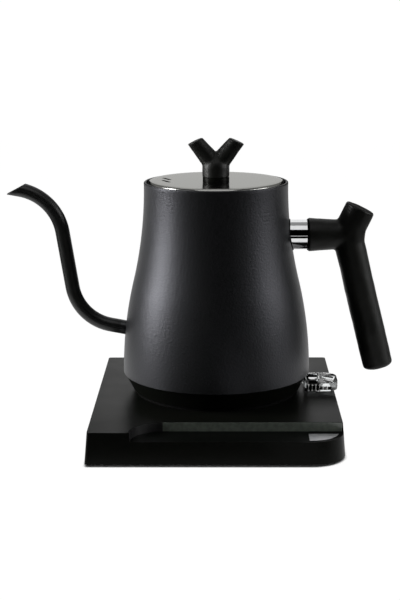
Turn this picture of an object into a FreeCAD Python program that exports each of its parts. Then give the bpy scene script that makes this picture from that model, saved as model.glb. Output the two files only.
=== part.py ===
"""Cordless electric kettle with a gooseneck spout, on a square power base with a front ledge.

Millimetres. +Z is up, the spout points to -X, the handle to +X and the ledge to -Y.
The origin is on the kettle's axis, on the surface that the base stands on.
"""
import FreeCAD, Part
import math
import os
import re

import Sketcher

from FreeCAD import Placement, Rotation, Vector

doc = FreeCAD.newDocument("kettle")
nodes = {}

# Driving dimensions, all in millimetres or degrees.
SIZES = {
    # Power base
    "foot_standoff": 1.6, "foot_radius": 7.0, "foot_recess": 0.8, "foot_inset": 20.0,
    "base_width": 172.0, "base_front_reach": 107.6, "base_back_reach": 88.0, "base_height": 21.7,
    "base_draft": 1.8, "base_wall": 2.4, "base_top_plate": 2.6, "base_corner_radius": 2.0,
    "base_round_corner_radius": 22.0, "plinth_radius": 59.0, "plinth_height": 2.2,
    "cover_thickness": 2.0, "cover_clearance": 0.2, "boss_radius": 4.0, "boss_inset": 10.0,
    "screw_radius": 1.25, "screw_head_radius": 2.8, "screw_head_height": 1.6, "screw_clearance": 0.05,
    "screw_grip": 9.0,
    # Ledge along the front of the base
    "ledge_depth": 23.0, "ledge_drop": 6.25, "ledge_start": 34.6, "ledge_lip": 0.4,
    "panel_thickness": 1.2, "end_plate_left": 62.5, "end_plate_inset": 2.7, "end_plate_setback": 5.6,
    "end_plate_proud": 0.15,
    # Socket in the base, and the plug half under the kettle
    "socket_radius": 24.0, "socket_flange_radius": 31.0, "socket_flange_thickness": 2.5,
    "socket_drum_radius": 20.0, "socket_drum_depth": 8.0, "nose_radius": 15.0, "nose_height": 9.0,
    "pin_hole_radius": 4.0, "pin_hole_depth": 9.0, "slot_inner_radius": 9.0, "slot_outer_radius": 11.0,
    "slot_depth": 8.0, "pin_sleeve_height": 5.0, "pin_gap": 0.2, "slot_ring_height": 1.5,
    "earth_ring_width": 1.0, "earth_ring_height": 2.0, "socket_screw_circle": 27.5, "socket_screw_grip": 3.0,
    "pin_radius": 2.0, "pin_length": 7.0, "ring_clearance": 0.4, "ring_length": 5.5,
    "plug_clearance": 1.0, "plug_ceiling_gap": 0.6, "plug_wall": 3.0, "plug_ceiling": 1.6,
    "plug_flange_overlap": 3.0, "plug_flange_thickness": 2.0,
    # Cord inlet
    "gland_height": 9.4, "gland_radius": 5.0, "gland_bore_radius": 3.4, "gland_flange": 1.6,
    "gland_flange_thickness": 1.8,
    # Pot
    "lift_gap": 0.3, "pot_radius": 67.8, "neck_radius": 51.5, "bell_height": 135.9, "neck_height": 2.6,
    "bell_flex_height": 66.8, "pot_wall": 1.0, "rim_width": 1.8, "rim_round": 0.8, "seat_drop": 4.0,
    "seat_thickness": 1.0, "mouth_radius": 45.6,
    # Underside of the kettle
    "skirt_height": 12.2, "skirt_foot_radius": 60.8, "skirt_top_step": 0.6, "skirt_wall": 2.2,
    "skirt_floor": 2.2, "skirt_opening": 34.0, "spigot_height": 4.0, "spigot_clearance": 0.2,
    "plate_rim_height": 5.0, "plate_thickness": 1.0, "plate_clearance": 0.3,
    "spreader_radius": 45.0, "spreader_thickness": 3.0, "element_radius": 38.0, "element_tube_radius": 3.2,
    "element_sweep": 320.0, "terminal_radius": 1.4, "terminal_length": 8.0,
    "stud_circle": 54.0, "stud_radius": 3.0, "stud_hole_depth": 10.0,
    "control_radius": 24.0, "bimetal_radius": 9.0, "bimetal_thickness": 0.6,
    "steam_tube_reach": 29.0, "steam_tube_radius": 4.0, "steam_tube_wall": 0.8, "steam_tube_height": 104.0,
    "steam_tube_tail": 6.0, "grommet_wall": 2.5, "grommet_flange": 2.0, "grommet_flange_thickness": 1.5,
    "spreader_hole_margin": 1.0, "lamp_radius": 2.5, "lamp_length": 10.0, "lamp_reach": 41.0,
    # Spout, in the plane of the handle
    "spout_radius": 4.35, "spout_wall": 0.8, "spout_root_height": 31.4, "spout_root_depth": 2.0,
    "spout_low_reach": 100.6, "spout_low_height": 37.9, "spout_low_bend": 34.0,
    "spout_high_reach": 114.6, "spout_high_height": 128.0, "spout_high_bend": 37.0,
    "spout_tip_reach": 153.0, "spout_tip_height": 135.1, "spout_lip_reach": 150.6,
    "spout_lip_height": 129.6, "spout_cut_angle": 25.6, "spout_ring_wall": 0.8, "spout_ring_length": 2.2,
    # Handle
    "handle_height": 99.9, "collar_radius": 10.8, "collar_reach": 65.4, "collar_washer_radius": 11.3,
    "collar_washer_thickness": 0.7, "arm_root_radius": 11.9, "arm_end_radius": 10.0,
    "elbow_reach": 94.2, "grip_radius": 10.75, "grip_length": 100.6, "grip_lean": 13.9,
    "grip_end_round": 2.6, "stub_length": 21.6, "stub_lean": 25.0, "stub_chamfer": 0.8,
    "elbow_web": 6.0, "web_inset": 0.1,
    "stud_rod_radius": 4.0, "stud_rod_reach": 82.0, "insert_radius": 5.5, "insert_reach": 84.0,
    "insert_clearance": 0.05,
    # Lid
    "lid_radius": 48.5, "lid_proud": 0.9, "lid_thickness": 0.8, "lid_round": 2.0, "lid_screw_radius": 1.9,
    "lid_screw_clearance": 0.2, "lid_ring_radius": 43.5, "lid_ring_wall": 0.8, "lid_ring_flange": 4.0,
    "lid_ring_depth": 13.5, "seal_thickness": 1.7, "seal_height": 3.4, "seal_drop": 2.0,
    "vent_reach": 35.3, "vent_spacing": 12.5, "vent_length": 12.0, "vent_width": 2.6, "vent_angle": -62.0,
    "knob_radius": 9.5, "knob_collar_height": 2.2, "knob_ball_height": 8.4, "knob_arm_height": 9.79,
    "knob_arm_radius": 6.98, "knob_arm_taper": 3.6, "knob_arm_lean": 39.8, "knob_arm_length": 23.5,
    "knob_cut_lean": 24.0, "knob_insert_radius": 4.0, "knob_insert_length": 12.0, "knob_screw_grip": 10.0,
    "knob_screw_head_radius": 4.0, "knob_screw_head_height": 2.2, "knob_washer_radius": 7.0,
    "knob_washer_thickness": 1.0,
    # Switch lever
    "lever_pivot_reach": 57.0, "lever_pivot_height": 5.2, "lever_pin_radius": 1.5,
    "lever_pin_clearance": 0.05,
    "lever_hub_radius": 2.7, "lever_arm_width": 12.0, "lever_arm_thickness": 2.4, "lever_tab_start": 64.0,
    "lever_tab_end": 88.5, "lever_tab_width": 30.0, "lever_tab_height": 6.0, "lever_tab_round": 9.0,
    "lever_side_gap": 0.5, "lever_lug_width": 2.0, "lever_lug_length": 6.0, "lever_lug_cap": 3.5,
    "lever_window_gap": 0.8, "lever_window_sill": 0.3, "lever_window_head": 1.0,
}

sheet = doc.addObject("Spreadsheet::Sheet", "Sizes")
for row, (alias, number) in enumerate(SIZES.items(), start=1):
    sheet.set("A%d" % row, alias)
    sheet.set("B%d" % row, str(number))
    sheet.setAlias("B%d" % row, alias)
doc.recompute()


def sized(text):
    """Put the sheet's name before each size in an expression."""
    def named(word):
        return "Sizes." + word.group() if word.group() in SIZES else word.group()
    return re.sub(r"[a-z_]+", named, text)


def val(text):
    """The number that an expression of sizes gives."""
    return float(sheet.evalExpression(sized(text)))


# Heights above the floor, as expressions of the sizes.
BASE_BOTTOM = "foot_standoff"
BASE_TOP = "(foot_standoff + base_height)"
COVER_TOP = "(foot_standoff + cover_thickness)"
LEDGE = "(foot_standoff + base_height - ledge_drop)"
RECESS = "(foot_standoff + base_height - ledge_drop - panel_thickness)"
CEILING = "(foot_standoff + base_height - base_top_plate)"
PLINTH_TOP = "(foot_standoff + base_height + plinth_height)"
NOSE_TOP = "(foot_standoff + base_height + plinth_height + nose_height)"
KETTLE_FOOT = "(foot_standoff + base_height + plinth_height + lift_gap)"
SKIRT_FLOOR = "(foot_standoff + base_height + plinth_height + lift_gap + skirt_floor)"
POT_FOOT = "(foot_standoff + base_height + plinth_height + lift_gap + skirt_height)"
SPIGOT_TOP = "(%s + spigot_height)" % POT_FOOT
PLATE_TOP = "(%s + plate_rim_height)" % SPIGOT_TOP
PLATE_UNDER = "(%s - plate_thickness)" % PLATE_TOP
SPREADER_UNDER = "(%s - spreader_thickness)" % PLATE_UNDER
PLUG_CEILING = "(%s + plug_ceiling_gap)" % NOSE_TOP
PLUG_TOP = "(%s + plug_ceiling)" % PLUG_CEILING
RIM = "(%s + bell_height + neck_height)" % POT_FOOT
SEAT = "(%s - seat_drop)" % RIM
LID_TOP = "(%s + lid_proud)" % RIM
LID_UNDER = "(%s - lid_thickness)" % LID_TOP
KNOB_FOOT = "(%s + knob_collar_height)" % LID_TOP
HANDLE_AXIS = "(%s + handle_height)" % POT_FOOT
LEVER_AXIS = "(%s + lever_pivot_height)" % KETTLE_FOOT
LEDGE_WALL = "(ledge_depth - base_front_reach)"


def keep(name, item):
    """Name an object as a finished sub-part."""
    item.Label = name
    nodes[name] = item
    return item


def sketch_in(body, role, outline, height="0"):
    """A fully constrained closed outline on one of the body's own planes.

    Each vertex is (across, up) or (across, up, radius): the radius bows the run to the next vertex,
    positive to the left of the way it goes and negative to the right.
    """
    sketch = body.newObject("Sketcher::SketchObject", body.Name + "Outline")
    plane = [feature for feature in body.Origin.OriginFeatures if feature.Role == role][0]
    sketch.AttachmentSupport = [(plane, "")]
    sketch.MapMode = "FlatFace"
    sketch.setExpression("AttachmentOffset.Base.z", sized(height))
    places = [Vector(val(vertex[0]), val(vertex[1]), 0) for vertex in outline]
    ends = []
    for index, vertex in enumerate(outline):
        start, end = places[index], places[(index + 1) % len(places)]
        if len(vertex) == 2:
            curve = sketch.addGeometry(Part.LineSegment(start, end))
            ends.append((curve, 1, 2))
            continue
        radius = val(vertex[2])
        chord = end - start
        left = Vector(-chord.y, chord.x, 0).normalize()
        rise = math.sqrt(max(radius ** 2 - chord.Length ** 2 / 4, 0))
        centre = (start + end) / 2 + left * math.copysign(rise, radius)
        first, last = (start, end) if radius > 0 else (end, start)
        circle = Part.Circle(centre, Vector(0, 0, 1), abs(radius))
        arc = Part.ArcOfCircle(circle, circle.parameter(first), circle.parameter(last))
        curve = sketch.addGeometry(arc)
        ends.append((curve, 1, 2) if radius > 0 else (curve, 2, 1))
    for index, vertex in enumerate(outline):
        curve, head, tail = ends[index]
        following, next_head = ends[(index + 1) % len(ends)][:2]
        sketch.addConstraint(Sketcher.Constraint("Coincident", curve, tail, following, next_head))
        for kind, text in (("DistanceX", vertex[0]), ("DistanceY", vertex[1])):
            rule = sketch.addConstraint(Sketcher.Constraint(kind, -1, 1, curve, head, val(text)))
            sketch.setExpression("Constraints[%d]" % rule, sized(text))
        if len(vertex) == 3:
            rule = sketch.addConstraint(Sketcher.Constraint("Radius", curve, abs(val(vertex[2]))))
            sketch.setExpression("Constraints[%d]" % rule, sized("abs(%s)" % vertex[2]))
    return sketch


def revolved(name, outline):
    """A body turned about the kettle's axis from an outline of (radius, height) vertices."""
    body = doc.addObject("PartDesign::Body", name)
    sketch = sketch_in(body, "XZ_Plane", outline)
    turn = body.newObject("PartDesign::Revolution", name + "Turn")
    turn.Profile = sketch
    turn.ReferenceAxis = (sketch, ["V_Axis"])
    turn.Angle = 360
    return body


def ring(name, outer, inner, bottom, top):
    """A round ring or tube about the kettle's axis."""
    return revolved(name, [(inner, bottom), (outer, bottom), (outer, top), (inner, top)])


def disc(name, radius, bottom, top):
    """A round disc or drum about the kettle's axis."""
    return revolved(name, [("0", bottom), (radius, bottom), (radius, top), ("0", top)])


def padded(name, outline, bottom, top):
    """A body raised from a plan outline between two heights."""
    body = doc.addObject("PartDesign::Body", name)
    pad = body.newObject("PartDesign::Pad", name + "Pad")
    pad.Profile = sketch_in(body, "XY_Plane", outline, bottom)
    pad.setExpression("Length", sized("%s - %s" % (top, bottom)))
    return body


def block(name, low, high):
    """A box between two corners."""
    item = doc.addObject("Part::Box", name)
    for axis, side, start, end in zip("xyz", ("Length", "Width", "Height"), low, high):
        item.setExpression(side, sized("(%s) - (%s)" % (end, start)))
        item.setExpression("Placement.Base.%s" % axis, sized(start))
    return item


UP = Rotation()
ALONG_X = Rotation(Vector(0, 0, 1), Vector(1, 0, 0))
ALONG_Y = Rotation(Vector(0, 0, 1), Vector(0, 1, 0))


def rod(name, radius, length, foot, turn=UP):
    """A cylinder that starts at foot."""
    item = doc.addObject("Part::Cylinder", name)
    item.setExpression("Radius", sized(radius))
    item.setExpression("Height", sized(length))
    item.Placement = Placement(Vector(), turn)
    for axis, place in zip("xyz", foot):
        item.setExpression("Placement.Base.%s" % axis, sized(place))
    return item


def fused(name, *items):
    """Several objects as one solid, or as one tool."""
    item = doc.addObject("Part::MultiFuse", name)
    item.Shapes = list(items)
    return item


def cut(name, stock, *tools):
    """Stock with one or more tools taken away."""
    item = doc.addObject("Part::Cut", name)
    item.Base = stock
    item.Tool = tools[0] if len(tools) == 1 else fused(name + "Tools", *tools)
    return item


def common(name, first, second):
    """What two objects share."""
    item = doc.addObject("Part::Common", name)
    item.Base = first
    item.Tool = second
    return item


def solid(name, shape):
    """An object whose shape is worked out directly."""
    item = doc.addObject("Part::Feature", name)
    item.Shape = shape
    return item


def cylinder(radius, foot, direction, length):
    return Part.makeCylinder(radius, length, foot, direction)


def screws(feet, direction, shank_radius, shank_length, head_radius, head_height):
    """Pan-head screws, each with its head's seat at foot and its shank along direction."""
    made = []
    for foot in feet:
        shank = cylinder(shank_radius, foot, direction, shank_length)
        head = cylinder(head_radius, foot - direction * head_height, direction, head_height)
        made.append(shank.fuse(head).removeSplitter())
    return Part.makeCompound(made)


def holes(radius, feet, direction, length):
    return Part.makeCompound([cylinder(radius, foot, direction, length) for foot in feet])


def on_circle(radius, angles, height):
    return [
        Vector(radius * math.cos(math.radians(angle)), radius * math.sin(math.radians(angle)), height)
        for angle in angles
    ]


Z = Vector(0, 0, 1)


def base_outline(inset):
    """The base's plan outline, with its large round corner at the front right, moved in by inset."""
    side = "(base_width / 2 - (%s))" % inset
    front = "((%s) - base_front_reach)" % inset
    back = "(base_back_reach - (%s))" % inset
    small = "base_corner_radius"
    large = "(base_round_corner_radius - (%s))" % inset
    return [
        ("-%s + %s" % (side, small), front),
        ("%s - %s" % (side, large), front, large),
        (side, "%s + %s" % (front, large)),
        (side, "%s - %s" % (back, small), small),
        ("%s - %s" % (side, small), back),
        ("-%s + %s" % (side, small), back, small),
        ("-%s" % side, "%s - %s" % (back, small)),
        ("-%s" % side, "%s + %s" % (front, small), small),
    ]


def ledge_outline(growth):
    """The ledge's plan: a quarter round at its left end, open at the front and the right."""
    over = "(base_draft + base_wall)"
    depth = "(ledge_depth + (%s))" % growth
    return [
        ("-ledge_start - %s" % depth, "-base_front_reach - %s" % over),
        ("base_width / 2 + %s" % over, "-base_front_reach - %s" % over),
        ("base_width / 2 + %s" % over, "%s - base_front_reach" % depth),
        ("-ledge_start", "%s - base_front_reach" % depth, depth),
        ("-ledge_start - %s" % depth, "-base_front_reach"),
    ]


# Power base: a drafted shell, open underneath, with a round plinth and screw bosses.
block_body = doc.addObject("PartDesign::Body", "BaseBlock")
block_loft = block_body.newObject("PartDesign::AdditiveLoft", "BaseBlockLoft")
lower_outline = sketch_in(block_body, "XY_Plane", base_outline("-base_draft"), BASE_BOTTOM)
upper_outline = sketch_in(block_body, "XY_Plane", base_outline("0"), BASE_TOP)
block_loft.Profile = lower_outline
block_loft.Sections = [upper_outline]
block_loft.Ruled = True

boss_side = val("base_width / 2 - boss_inset")
boss_front = val("ledge_depth - base_front_reach + panel_thickness + base_wall + boss_inset")
boss_back = val("base_back_reach - boss_inset")
boss_places = [(side, y) for side in (-boss_side, boss_side) for y in (boss_front, boss_back)]
foot_side = val("base_width / 2 - foot_inset")
foot_places = [
    (side, y)
    for side in (-foot_side, foot_side)
    for y in (val("foot_inset - base_front_reach"), val("base_back_reach - foot_inset"))
]
SOCKET_SCREW_ANGLES = (90, 210, 330)
boss_feet = [Vector(x, y, val(COVER_TOP)) for x, y in boss_places]
low_ceiling = "(%s - base_wall)" % RECESS
cavity_low = padded("CavityLow", base_outline("base_wall"), BASE_BOTTOM, low_ceiling)
cavity_high = block(
    "CavityHigh",
    ("base_wall - base_width / 2", "%s + panel_thickness + base_wall" % LEDGE_WALL, low_ceiling),
    ("base_width / 2 - base_wall", "base_back_reach - base_wall", CEILING),
)
base_shell = cut("BaseShell", block_body, cavity_low, cavity_high)
plinth = disc("Plinth", "plinth_radius", CEILING, PLINTH_TOP)
bosses = solid("Bosses", holes(val("boss_radius"), boss_feet, Z, val("%s - %s" % (CEILING, COVER_TOP))))
base_stock = fused("BaseStock", base_shell, plinth, bosses)
ledge_space = padded("LedgeSpace", ledge_outline("0"), LEDGE, "(%s + base_wall)" % BASE_TOP)
panel_zone = padded("PanelZone", ledge_outline("panel_thickness"), RECESS, BASE_TOP)
panel_limit = padded("PanelLimit", base_outline("ledge_lip"), RECESS, BASE_TOP)
panel_space = common("PanelSpace", panel_zone, panel_limit)
socket_hole = rod("SocketHole", "socket_radius", "base_height", ("0", "0", LEDGE))
gland_hole = rod(
    "GlandHole", "gland_radius", "base_wall * 4",
    ("0", "base_back_reach - base_wall * 2", BASE_BOTTOM + " + gland_height"), ALONG_Y,
)
boss_holes = solid(
    "BossHoles", holes(val("screw_radius + screw_clearance"), boss_feet, Z, val("screw_grip"))
)
socket_screw_feet = on_circle(
    val("socket_screw_circle"), SOCKET_SCREW_ANGLES, val("%s - socket_flange_thickness" % CEILING)
)
socket_screw_depth = val("socket_flange_thickness + socket_screw_grip")
socket_holes = solid(
    "SocketHoles", holes(val("screw_radius + screw_clearance"), socket_screw_feet, Z, socket_screw_depth)
)
keep("base_housing", cut(
    "BaseHousing", base_stock, ledge_space, panel_space, socket_hole, gland_hole, boss_holes, socket_holes
))

# Insert that lines the ledge, and the plain plate at its right-hand end.
end_plate_zone = block(
    "EndPlateZone",
    ("end_plate_left", "-base_front_reach", RECESS),
    ("base_width / 2", "%s - end_plate_setback" % LEDGE_WALL, "(%s + end_plate_proud)" % LEDGE),
)
end_plate_limit = padded(
    "EndPlateLimit", base_outline("end_plate_inset"), RECESS, "(%s + end_plate_proud)" % LEDGE
)
end_plate = keep("ledge_end_plate", common("LedgeEndPlate", end_plate_zone, end_plate_limit))
keep("ledge_panel", cut("LedgePanel", panel_space, ledge_space, end_plate))

# Bottom cover with its feet and screws.
cover_plate = padded("CoverPlate", base_outline("base_wall + cover_clearance"), BASE_BOTTOM, COVER_TOP)
floor_feet = [Vector(x, y, 0) for x, y in foot_places]
foot_length = val("foot_standoff + foot_recess")
feet = keep("base_feet", solid("BaseFeet", holes(val("foot_radius"), floor_feet, Z, foot_length)))
head_seats = [Vector(x, y, val("foot_standoff + screw_head_height")) for x, y in boss_places]
screw_length = val("screw_grip - screw_clearance + cover_thickness - screw_head_height")
keep("cover_screws", solid("CoverScrews", screws(
    head_seats, Z, val("screw_radius"), screw_length, val("screw_head_radius"), val("screw_head_height")
)))
head_pockets = solid("HeadPockets", Part.makeCompound([
    cylinder(val("screw_head_radius + screw_clearance"), seat - Z * val("screw_head_height"), Z,
             val("screw_head_height")).fuse(
        cylinder(val("screw_radius + screw_clearance"), seat, Z, val("cover_thickness")))
    for seat in head_seats
]))
keep("bottom_cover", cut("BottomCover", cover_plate, feet, head_pockets))

# Socket in the middle of the plinth: a nose with a pin hole and a ring slot.
drum_bottom = "(%s - socket_flange_thickness - socket_drum_depth)" % CEILING
flange_bottom = "(%s - socket_flange_thickness)" % CEILING
socket_neck = "(socket_radius - cover_clearance)"
socket_stock = revolved("SocketStock", [
    ("0", drum_bottom), ("socket_drum_radius", drum_bottom), ("socket_drum_radius", flange_bottom),
    ("socket_flange_radius", flange_bottom), ("socket_flange_radius", CEILING), (socket_neck, CEILING),
    (socket_neck, PLINTH_TOP), ("nose_radius", PLINTH_TOP), ("nose_radius", NOSE_TOP), ("0", NOSE_TOP),
])
pin_hole = disc(
    "PinHole", "pin_hole_radius", "(%s - pin_hole_depth)" % NOSE_TOP, "(%s + lift_gap)" % NOSE_TOP
)
slot = ring(
    "RingSlot", "slot_outer_radius", "slot_inner_radius",
    "(%s - slot_depth)" % NOSE_TOP, "(%s + lift_gap)" % NOSE_TOP,
)
keep("base_socket", cut("BaseSocket", socket_stock, pin_hole, slot, socket_holes))
pin_bottom = val("%s - pin_hole_depth" % NOSE_TOP)
slot_bottom = val("%s - slot_depth" % NOSE_TOP)


def tube_shape(outer, inner, bottom, height):
    """A plain round ring as a shape."""
    foot = Vector(0, 0, bottom)
    return cylinder(outer, foot, Z, height).cut(cylinder(inner, foot, Z, height))


keep("socket_contacts", solid("SocketContacts", Part.makeCompound([
    tube_shape(val("pin_hole_radius"), val("pin_radius + pin_gap"), pin_bottom, val("pin_sleeve_height")),
    tube_shape(val("slot_outer_radius"), val("slot_inner_radius"), slot_bottom, val("slot_ring_height")),
    tube_shape(
        val("nose_radius + earth_ring_width"), val("nose_radius"), val(PLINTH_TOP), val("earth_ring_height")
    ),
])))
keep("socket_screws", solid("SocketScrews", screws(
    socket_screw_feet, Z, val("screw_radius"), socket_screw_depth - val("screw_clearance"),
    val("screw_head_radius"), val("screw_head_height"),
)))

# Cord inlet: a flanged rubber bush in the back wall.
gland_outside = val("base_back_reach + base_draft")
gland_inside = val("base_back_reach - base_wall")
gland_lip = val("gland_flange_thickness")
gland_rim = val("gland_radius + gland_flange")
Y = Vector(0, 1, 0)


def gland_rod(radius, start, end):
    foot = Vector(0, start, val("foot_standoff + gland_height"))
    return cylinder(radius, foot, Y, end - start)


gland = gland_rod(val("gland_radius"), gland_inside - gland_lip, gland_outside + gland_lip)
gland = gland.fuse([
    gland_rod(gland_rim, gland_inside - gland_lip, gland_inside),
    gland_rod(gland_rim, gland_outside, gland_outside + gland_lip),
])
gland = gland.cut(gland_rod(val("gland_bore_radius"), gland_inside - gland_lip, gland_outside + gland_lip))
keep("cord_gland", solid("CordGland", gland.removeSplitter()))

# Pot: a bell-shaped wall of two arcs that meet without a corner, with a rolled rim and a seat for the lid.
spread = "(pot_radius - neck_radius)"
arc_sum = "((%s ^ 2 + bell_height ^ 2) / (2 * %s))" % (spread, spread)
flex_share = "(bell_flex_height / bell_height)"
lower_arc = "(%s * %s)" % (arc_sum, flex_share)
upper_arc = "(%s * (1 - %s))" % (arc_sum, flex_share)
flex_radius = "(pot_radius - %s * %s)" % (flex_share, spread)
flex_level = "(%s + bell_flex_height)" % POT_FOOT
bell_top = "(%s + bell_height)" % POT_FOOT
seat_under = "(%s - seat_thickness)" % SEAT
inner_flex = (
    "%s - pot_wall * (1 - %s / %s)" % (flex_radius, spread, arc_sum),
    "%s - pot_wall * bell_height / %s" % (flex_level, arc_sum),
)
inner_neck = "(neck_radius + %s - sqrt((%s + pot_wall) ^ 2 - (%s - %s) ^ 2))" % (
    upper_arc, upper_arc, bell_top, seat_under
)
outer_wall = [
    ("pot_radius", POT_FOOT, lower_arc), (flex_radius, flex_level, "-" + upper_arc),
    ("neck_radius", bell_top),
]
pot_stock = revolved("PotStock", outer_wall + [
    ("neck_radius", "%s - rim_round" % RIM, "rim_round"),
    ("neck_radius - rim_round", RIM),
    ("neck_radius - rim_width + rim_round", RIM, "rim_round"),
    ("neck_radius - rim_width", "%s - rim_round" % RIM),
    ("neck_radius - rim_width", SEAT), ("mouth_radius", SEAT), ("mouth_radius", seat_under),
    (inner_neck, seat_under, "(%s + pot_wall)" % upper_arc),
    inner_flex + ("-(%s - pot_wall)" % lower_arc,),
    ("pot_radius - pot_wall", POT_FOOT),
])
pot_space = revolved("PotSpace", outer_wall + [("neck_radius", RIM), ("0", RIM), ("0", POT_FOOT)])

# Spout: a bent tube of straight runs and tangent arcs, cut on the slant at its lip.
pot_level = val(POT_FOOT)


def spout_place(reach, height):
    return Vector(-val(reach), 0, pot_level + val(height))


root_on_wall = spout_place("pot_radius - spout_root_depth", "spout_root_height")
low_corner = spout_place("spout_low_reach", "spout_low_height")
high_corner = spout_place("spout_high_reach", "spout_high_height")
spout_tip = spout_place("spout_tip_reach", "spout_tip_height")
root_way = (low_corner - root_on_wall).normalize()
spout_root = root_on_wall - root_way * val("spout_root_depth")


def bent_path(points, radii):
    """A wire of straight runs joined by tangent arcs of the given radii."""
    edges = []
    start = points[0]
    for before, corner, after, radius in zip(points, points[1:], points[2:], radii):
        back = (before - corner).normalize()
        ahead = (after - corner).normalize()
        half_turn = (math.pi - back.getAngle(ahead)) / 2
        reach = radius * math.tan(half_turn)
        inward = (back + ahead).normalize()
        middle = corner + inward * (radius / math.cos(half_turn) - radius)
        edges.append(Part.LineSegment(start, corner + back * reach).toShape())
        edges.append(Part.Arc(corner + back * reach, middle, corner + ahead * reach).toShape())
        start = corner + ahead * reach
    edges.append(Part.LineSegment(start, points[-1]).toShape())
    return Part.Wire(edges)


spout_path = bent_path(
    [spout_root, low_corner, high_corner, spout_tip], [val("spout_low_bend"), val("spout_high_bend")]
)


def spout_pipe(radius):
    section = Part.Wire([Part.makeCircle(radius, spout_root, root_way)])
    return spout_path.makePipeShell([section], True, True)


lip = spout_place("spout_lip_reach", "spout_lip_height")
lip_size = val("spout_tip_reach - spout_high_reach")
lip_cutter = Part.makeBox(2 * lip_size, lip_size, lip_size, Vector(-lip_size, -lip_size / 2, 0))
lip_cutter.Placement = Placement(lip, Rotation(Vector(0, -1, 0), val("spout_cut_angle")))
spout_outside = spout_pipe(val("spout_radius"))
spout_tube = spout_outside.cut(spout_pipe(val("spout_radius - spout_wall"))).cut(lip_cutter)
keep("spout_tube", solid("SpoutTube", spout_tube))
keep("kettle_body", cut("KettleBody", pot_stock, solid("SpoutOutside", spout_outside)))
ring_stock = cylinder(
    val("spout_radius + spout_ring_wall"), root_on_wall, root_way, val("spout_root_depth + spout_ring_length")
)
ring_blank = solid("SpoutRingBlank", ring_stock.cut(spout_outside))
keep("spout_root_ring", cut("SpoutRootRing", ring_blank, pot_space))

# Underside of the kettle: skirt, floor plate, heater and control.
spigot = "(pot_radius - pot_wall - spigot_clearance)"
skirt_stock = revolved("SkirtStock", [
    ("skirt_opening", KETTLE_FOOT), ("skirt_foot_radius", KETTLE_FOOT),
    ("pot_radius - skirt_top_step", POT_FOOT),
    (spigot, POT_FOOT), (spigot, SPIGOT_TOP), ("%s - skirt_wall" % spigot, SPIGOT_TOP),
    ("%s - skirt_wall" % spigot, POT_FOOT), ("skirt_foot_radius - skirt_wall", SKIRT_FLOOR),
    ("skirt_opening", SKIRT_FLOOR),
])
STUD_ANGLES = (60, 180, 300)
floor_studs = on_circle(val("stud_circle"), STUD_ANGLES, val(SKIRT_FLOOR))
skirt_seats = on_circle(
    val("stud_circle"), STUD_ANGLES, val(SKIRT_FLOOR + " - (skirt_floor - screw_head_height) / 2")
)
skirt_pockets = solid("SkirtPockets", Part.makeCompound([
    cylinder(
        val("screw_head_radius + screw_clearance"), seat - Z * val("skirt_floor"), Z, val("skirt_floor")
    ).fuse(
        cylinder(val("screw_radius + screw_clearance"), seat, Z, val("skirt_floor")))
    for seat in skirt_seats
]))
lug_inner = "(lever_arm_width / 2 + lever_side_gap)"
lug_outer = "(%s + lever_lug_width)" % lug_inner
lugs = [
    block(
        name,
        ("lever_pivot_reach - lever_lug_length / 2", low, SKIRT_FLOOR),
        ("lever_pivot_reach + lever_lug_length / 2", high, "%s + lever_lug_cap" % LEVER_AXIS),
    )
    for name, low, high in (
        ("LugFront", "-" + lug_outer, "-" + lug_inner), ("LugBack", lug_inner, lug_outer),
    )
]
pin_stock = rod(
    "LeverPin", "lever_pin_radius", "2 * %s" % lug_outer,
    ("lever_pivot_reach", "-" + lug_outer, LEVER_AXIS), ALONG_Y,
)
keep("lever_pin", pin_stock)
window_side = "(lever_tab_width / 2 + lever_window_gap)"
window = block(
    "LeverWindow",
    ("lever_pivot_reach", "-" + window_side, "%s + lever_window_sill" % SKIRT_FLOOR),
    ("pot_radius + lever_window_gap", window_side, "%s - lever_window_head" % POT_FOOT),
)
skirt_open = cut("SkirtOpen", skirt_stock, window, skirt_pockets)
keep("bottom_skirt", cut("BottomSkirt", fused("SkirtWithLugs", skirt_open, *lugs), pin_stock))
keep("skirt_screws", solid("SkirtScrews", screws(
    skirt_seats, Z, val("screw_radius"), val("stud_hole_depth"), val("screw_head_radius"),
    val("screw_head_height - screw_clearance"),
)))

plate_radius = "(pot_radius - pot_wall - plate_clearance)"
plate_stock = revolved("PlateStock", [
    ("0", PLATE_UNDER), ("%s - skirt_wall" % plate_radius, PLATE_UNDER),
    ("%s - skirt_wall" % plate_radius, SPIGOT_TOP),
    (plate_radius, SPIGOT_TOP), (plate_radius, PLATE_TOP), ("0", PLATE_TOP),
])
grommet_radius = "(steam_tube_radius + grommet_wall)"
grommet_hole = rod("GrommetHole", grommet_radius, "plate_rim_height", ("steam_tube_reach", "0", PLATE_UNDER))
keep("bottom_plate", cut("BottomPlate", plate_stock, grommet_hole))
stud_length = val("%s - %s" % (PLATE_UNDER, SKIRT_FLOOR))
stud_bores = holes(val("screw_radius + screw_clearance"), floor_studs, Z, val("stud_hole_depth"))
stud_rods = holes(val("stud_radius"), floor_studs, Z, stud_length)
keep("plate_studs", solid("PlateStuds", stud_rods.cut(stud_bores)))
spreader_stock = disc("SpreaderStock", "spreader_radius", SPREADER_UNDER, PLATE_UNDER)
spreader_hole = rod(
    "SpreaderHole", "%s + spreader_hole_margin" % grommet_radius, "spreader_thickness",
    ("steam_tube_reach", "0", SPREADER_UNDER),
)
keep("heat_spreader", cut("HeatSpreader", spreader_stock, spreader_hole))

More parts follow.
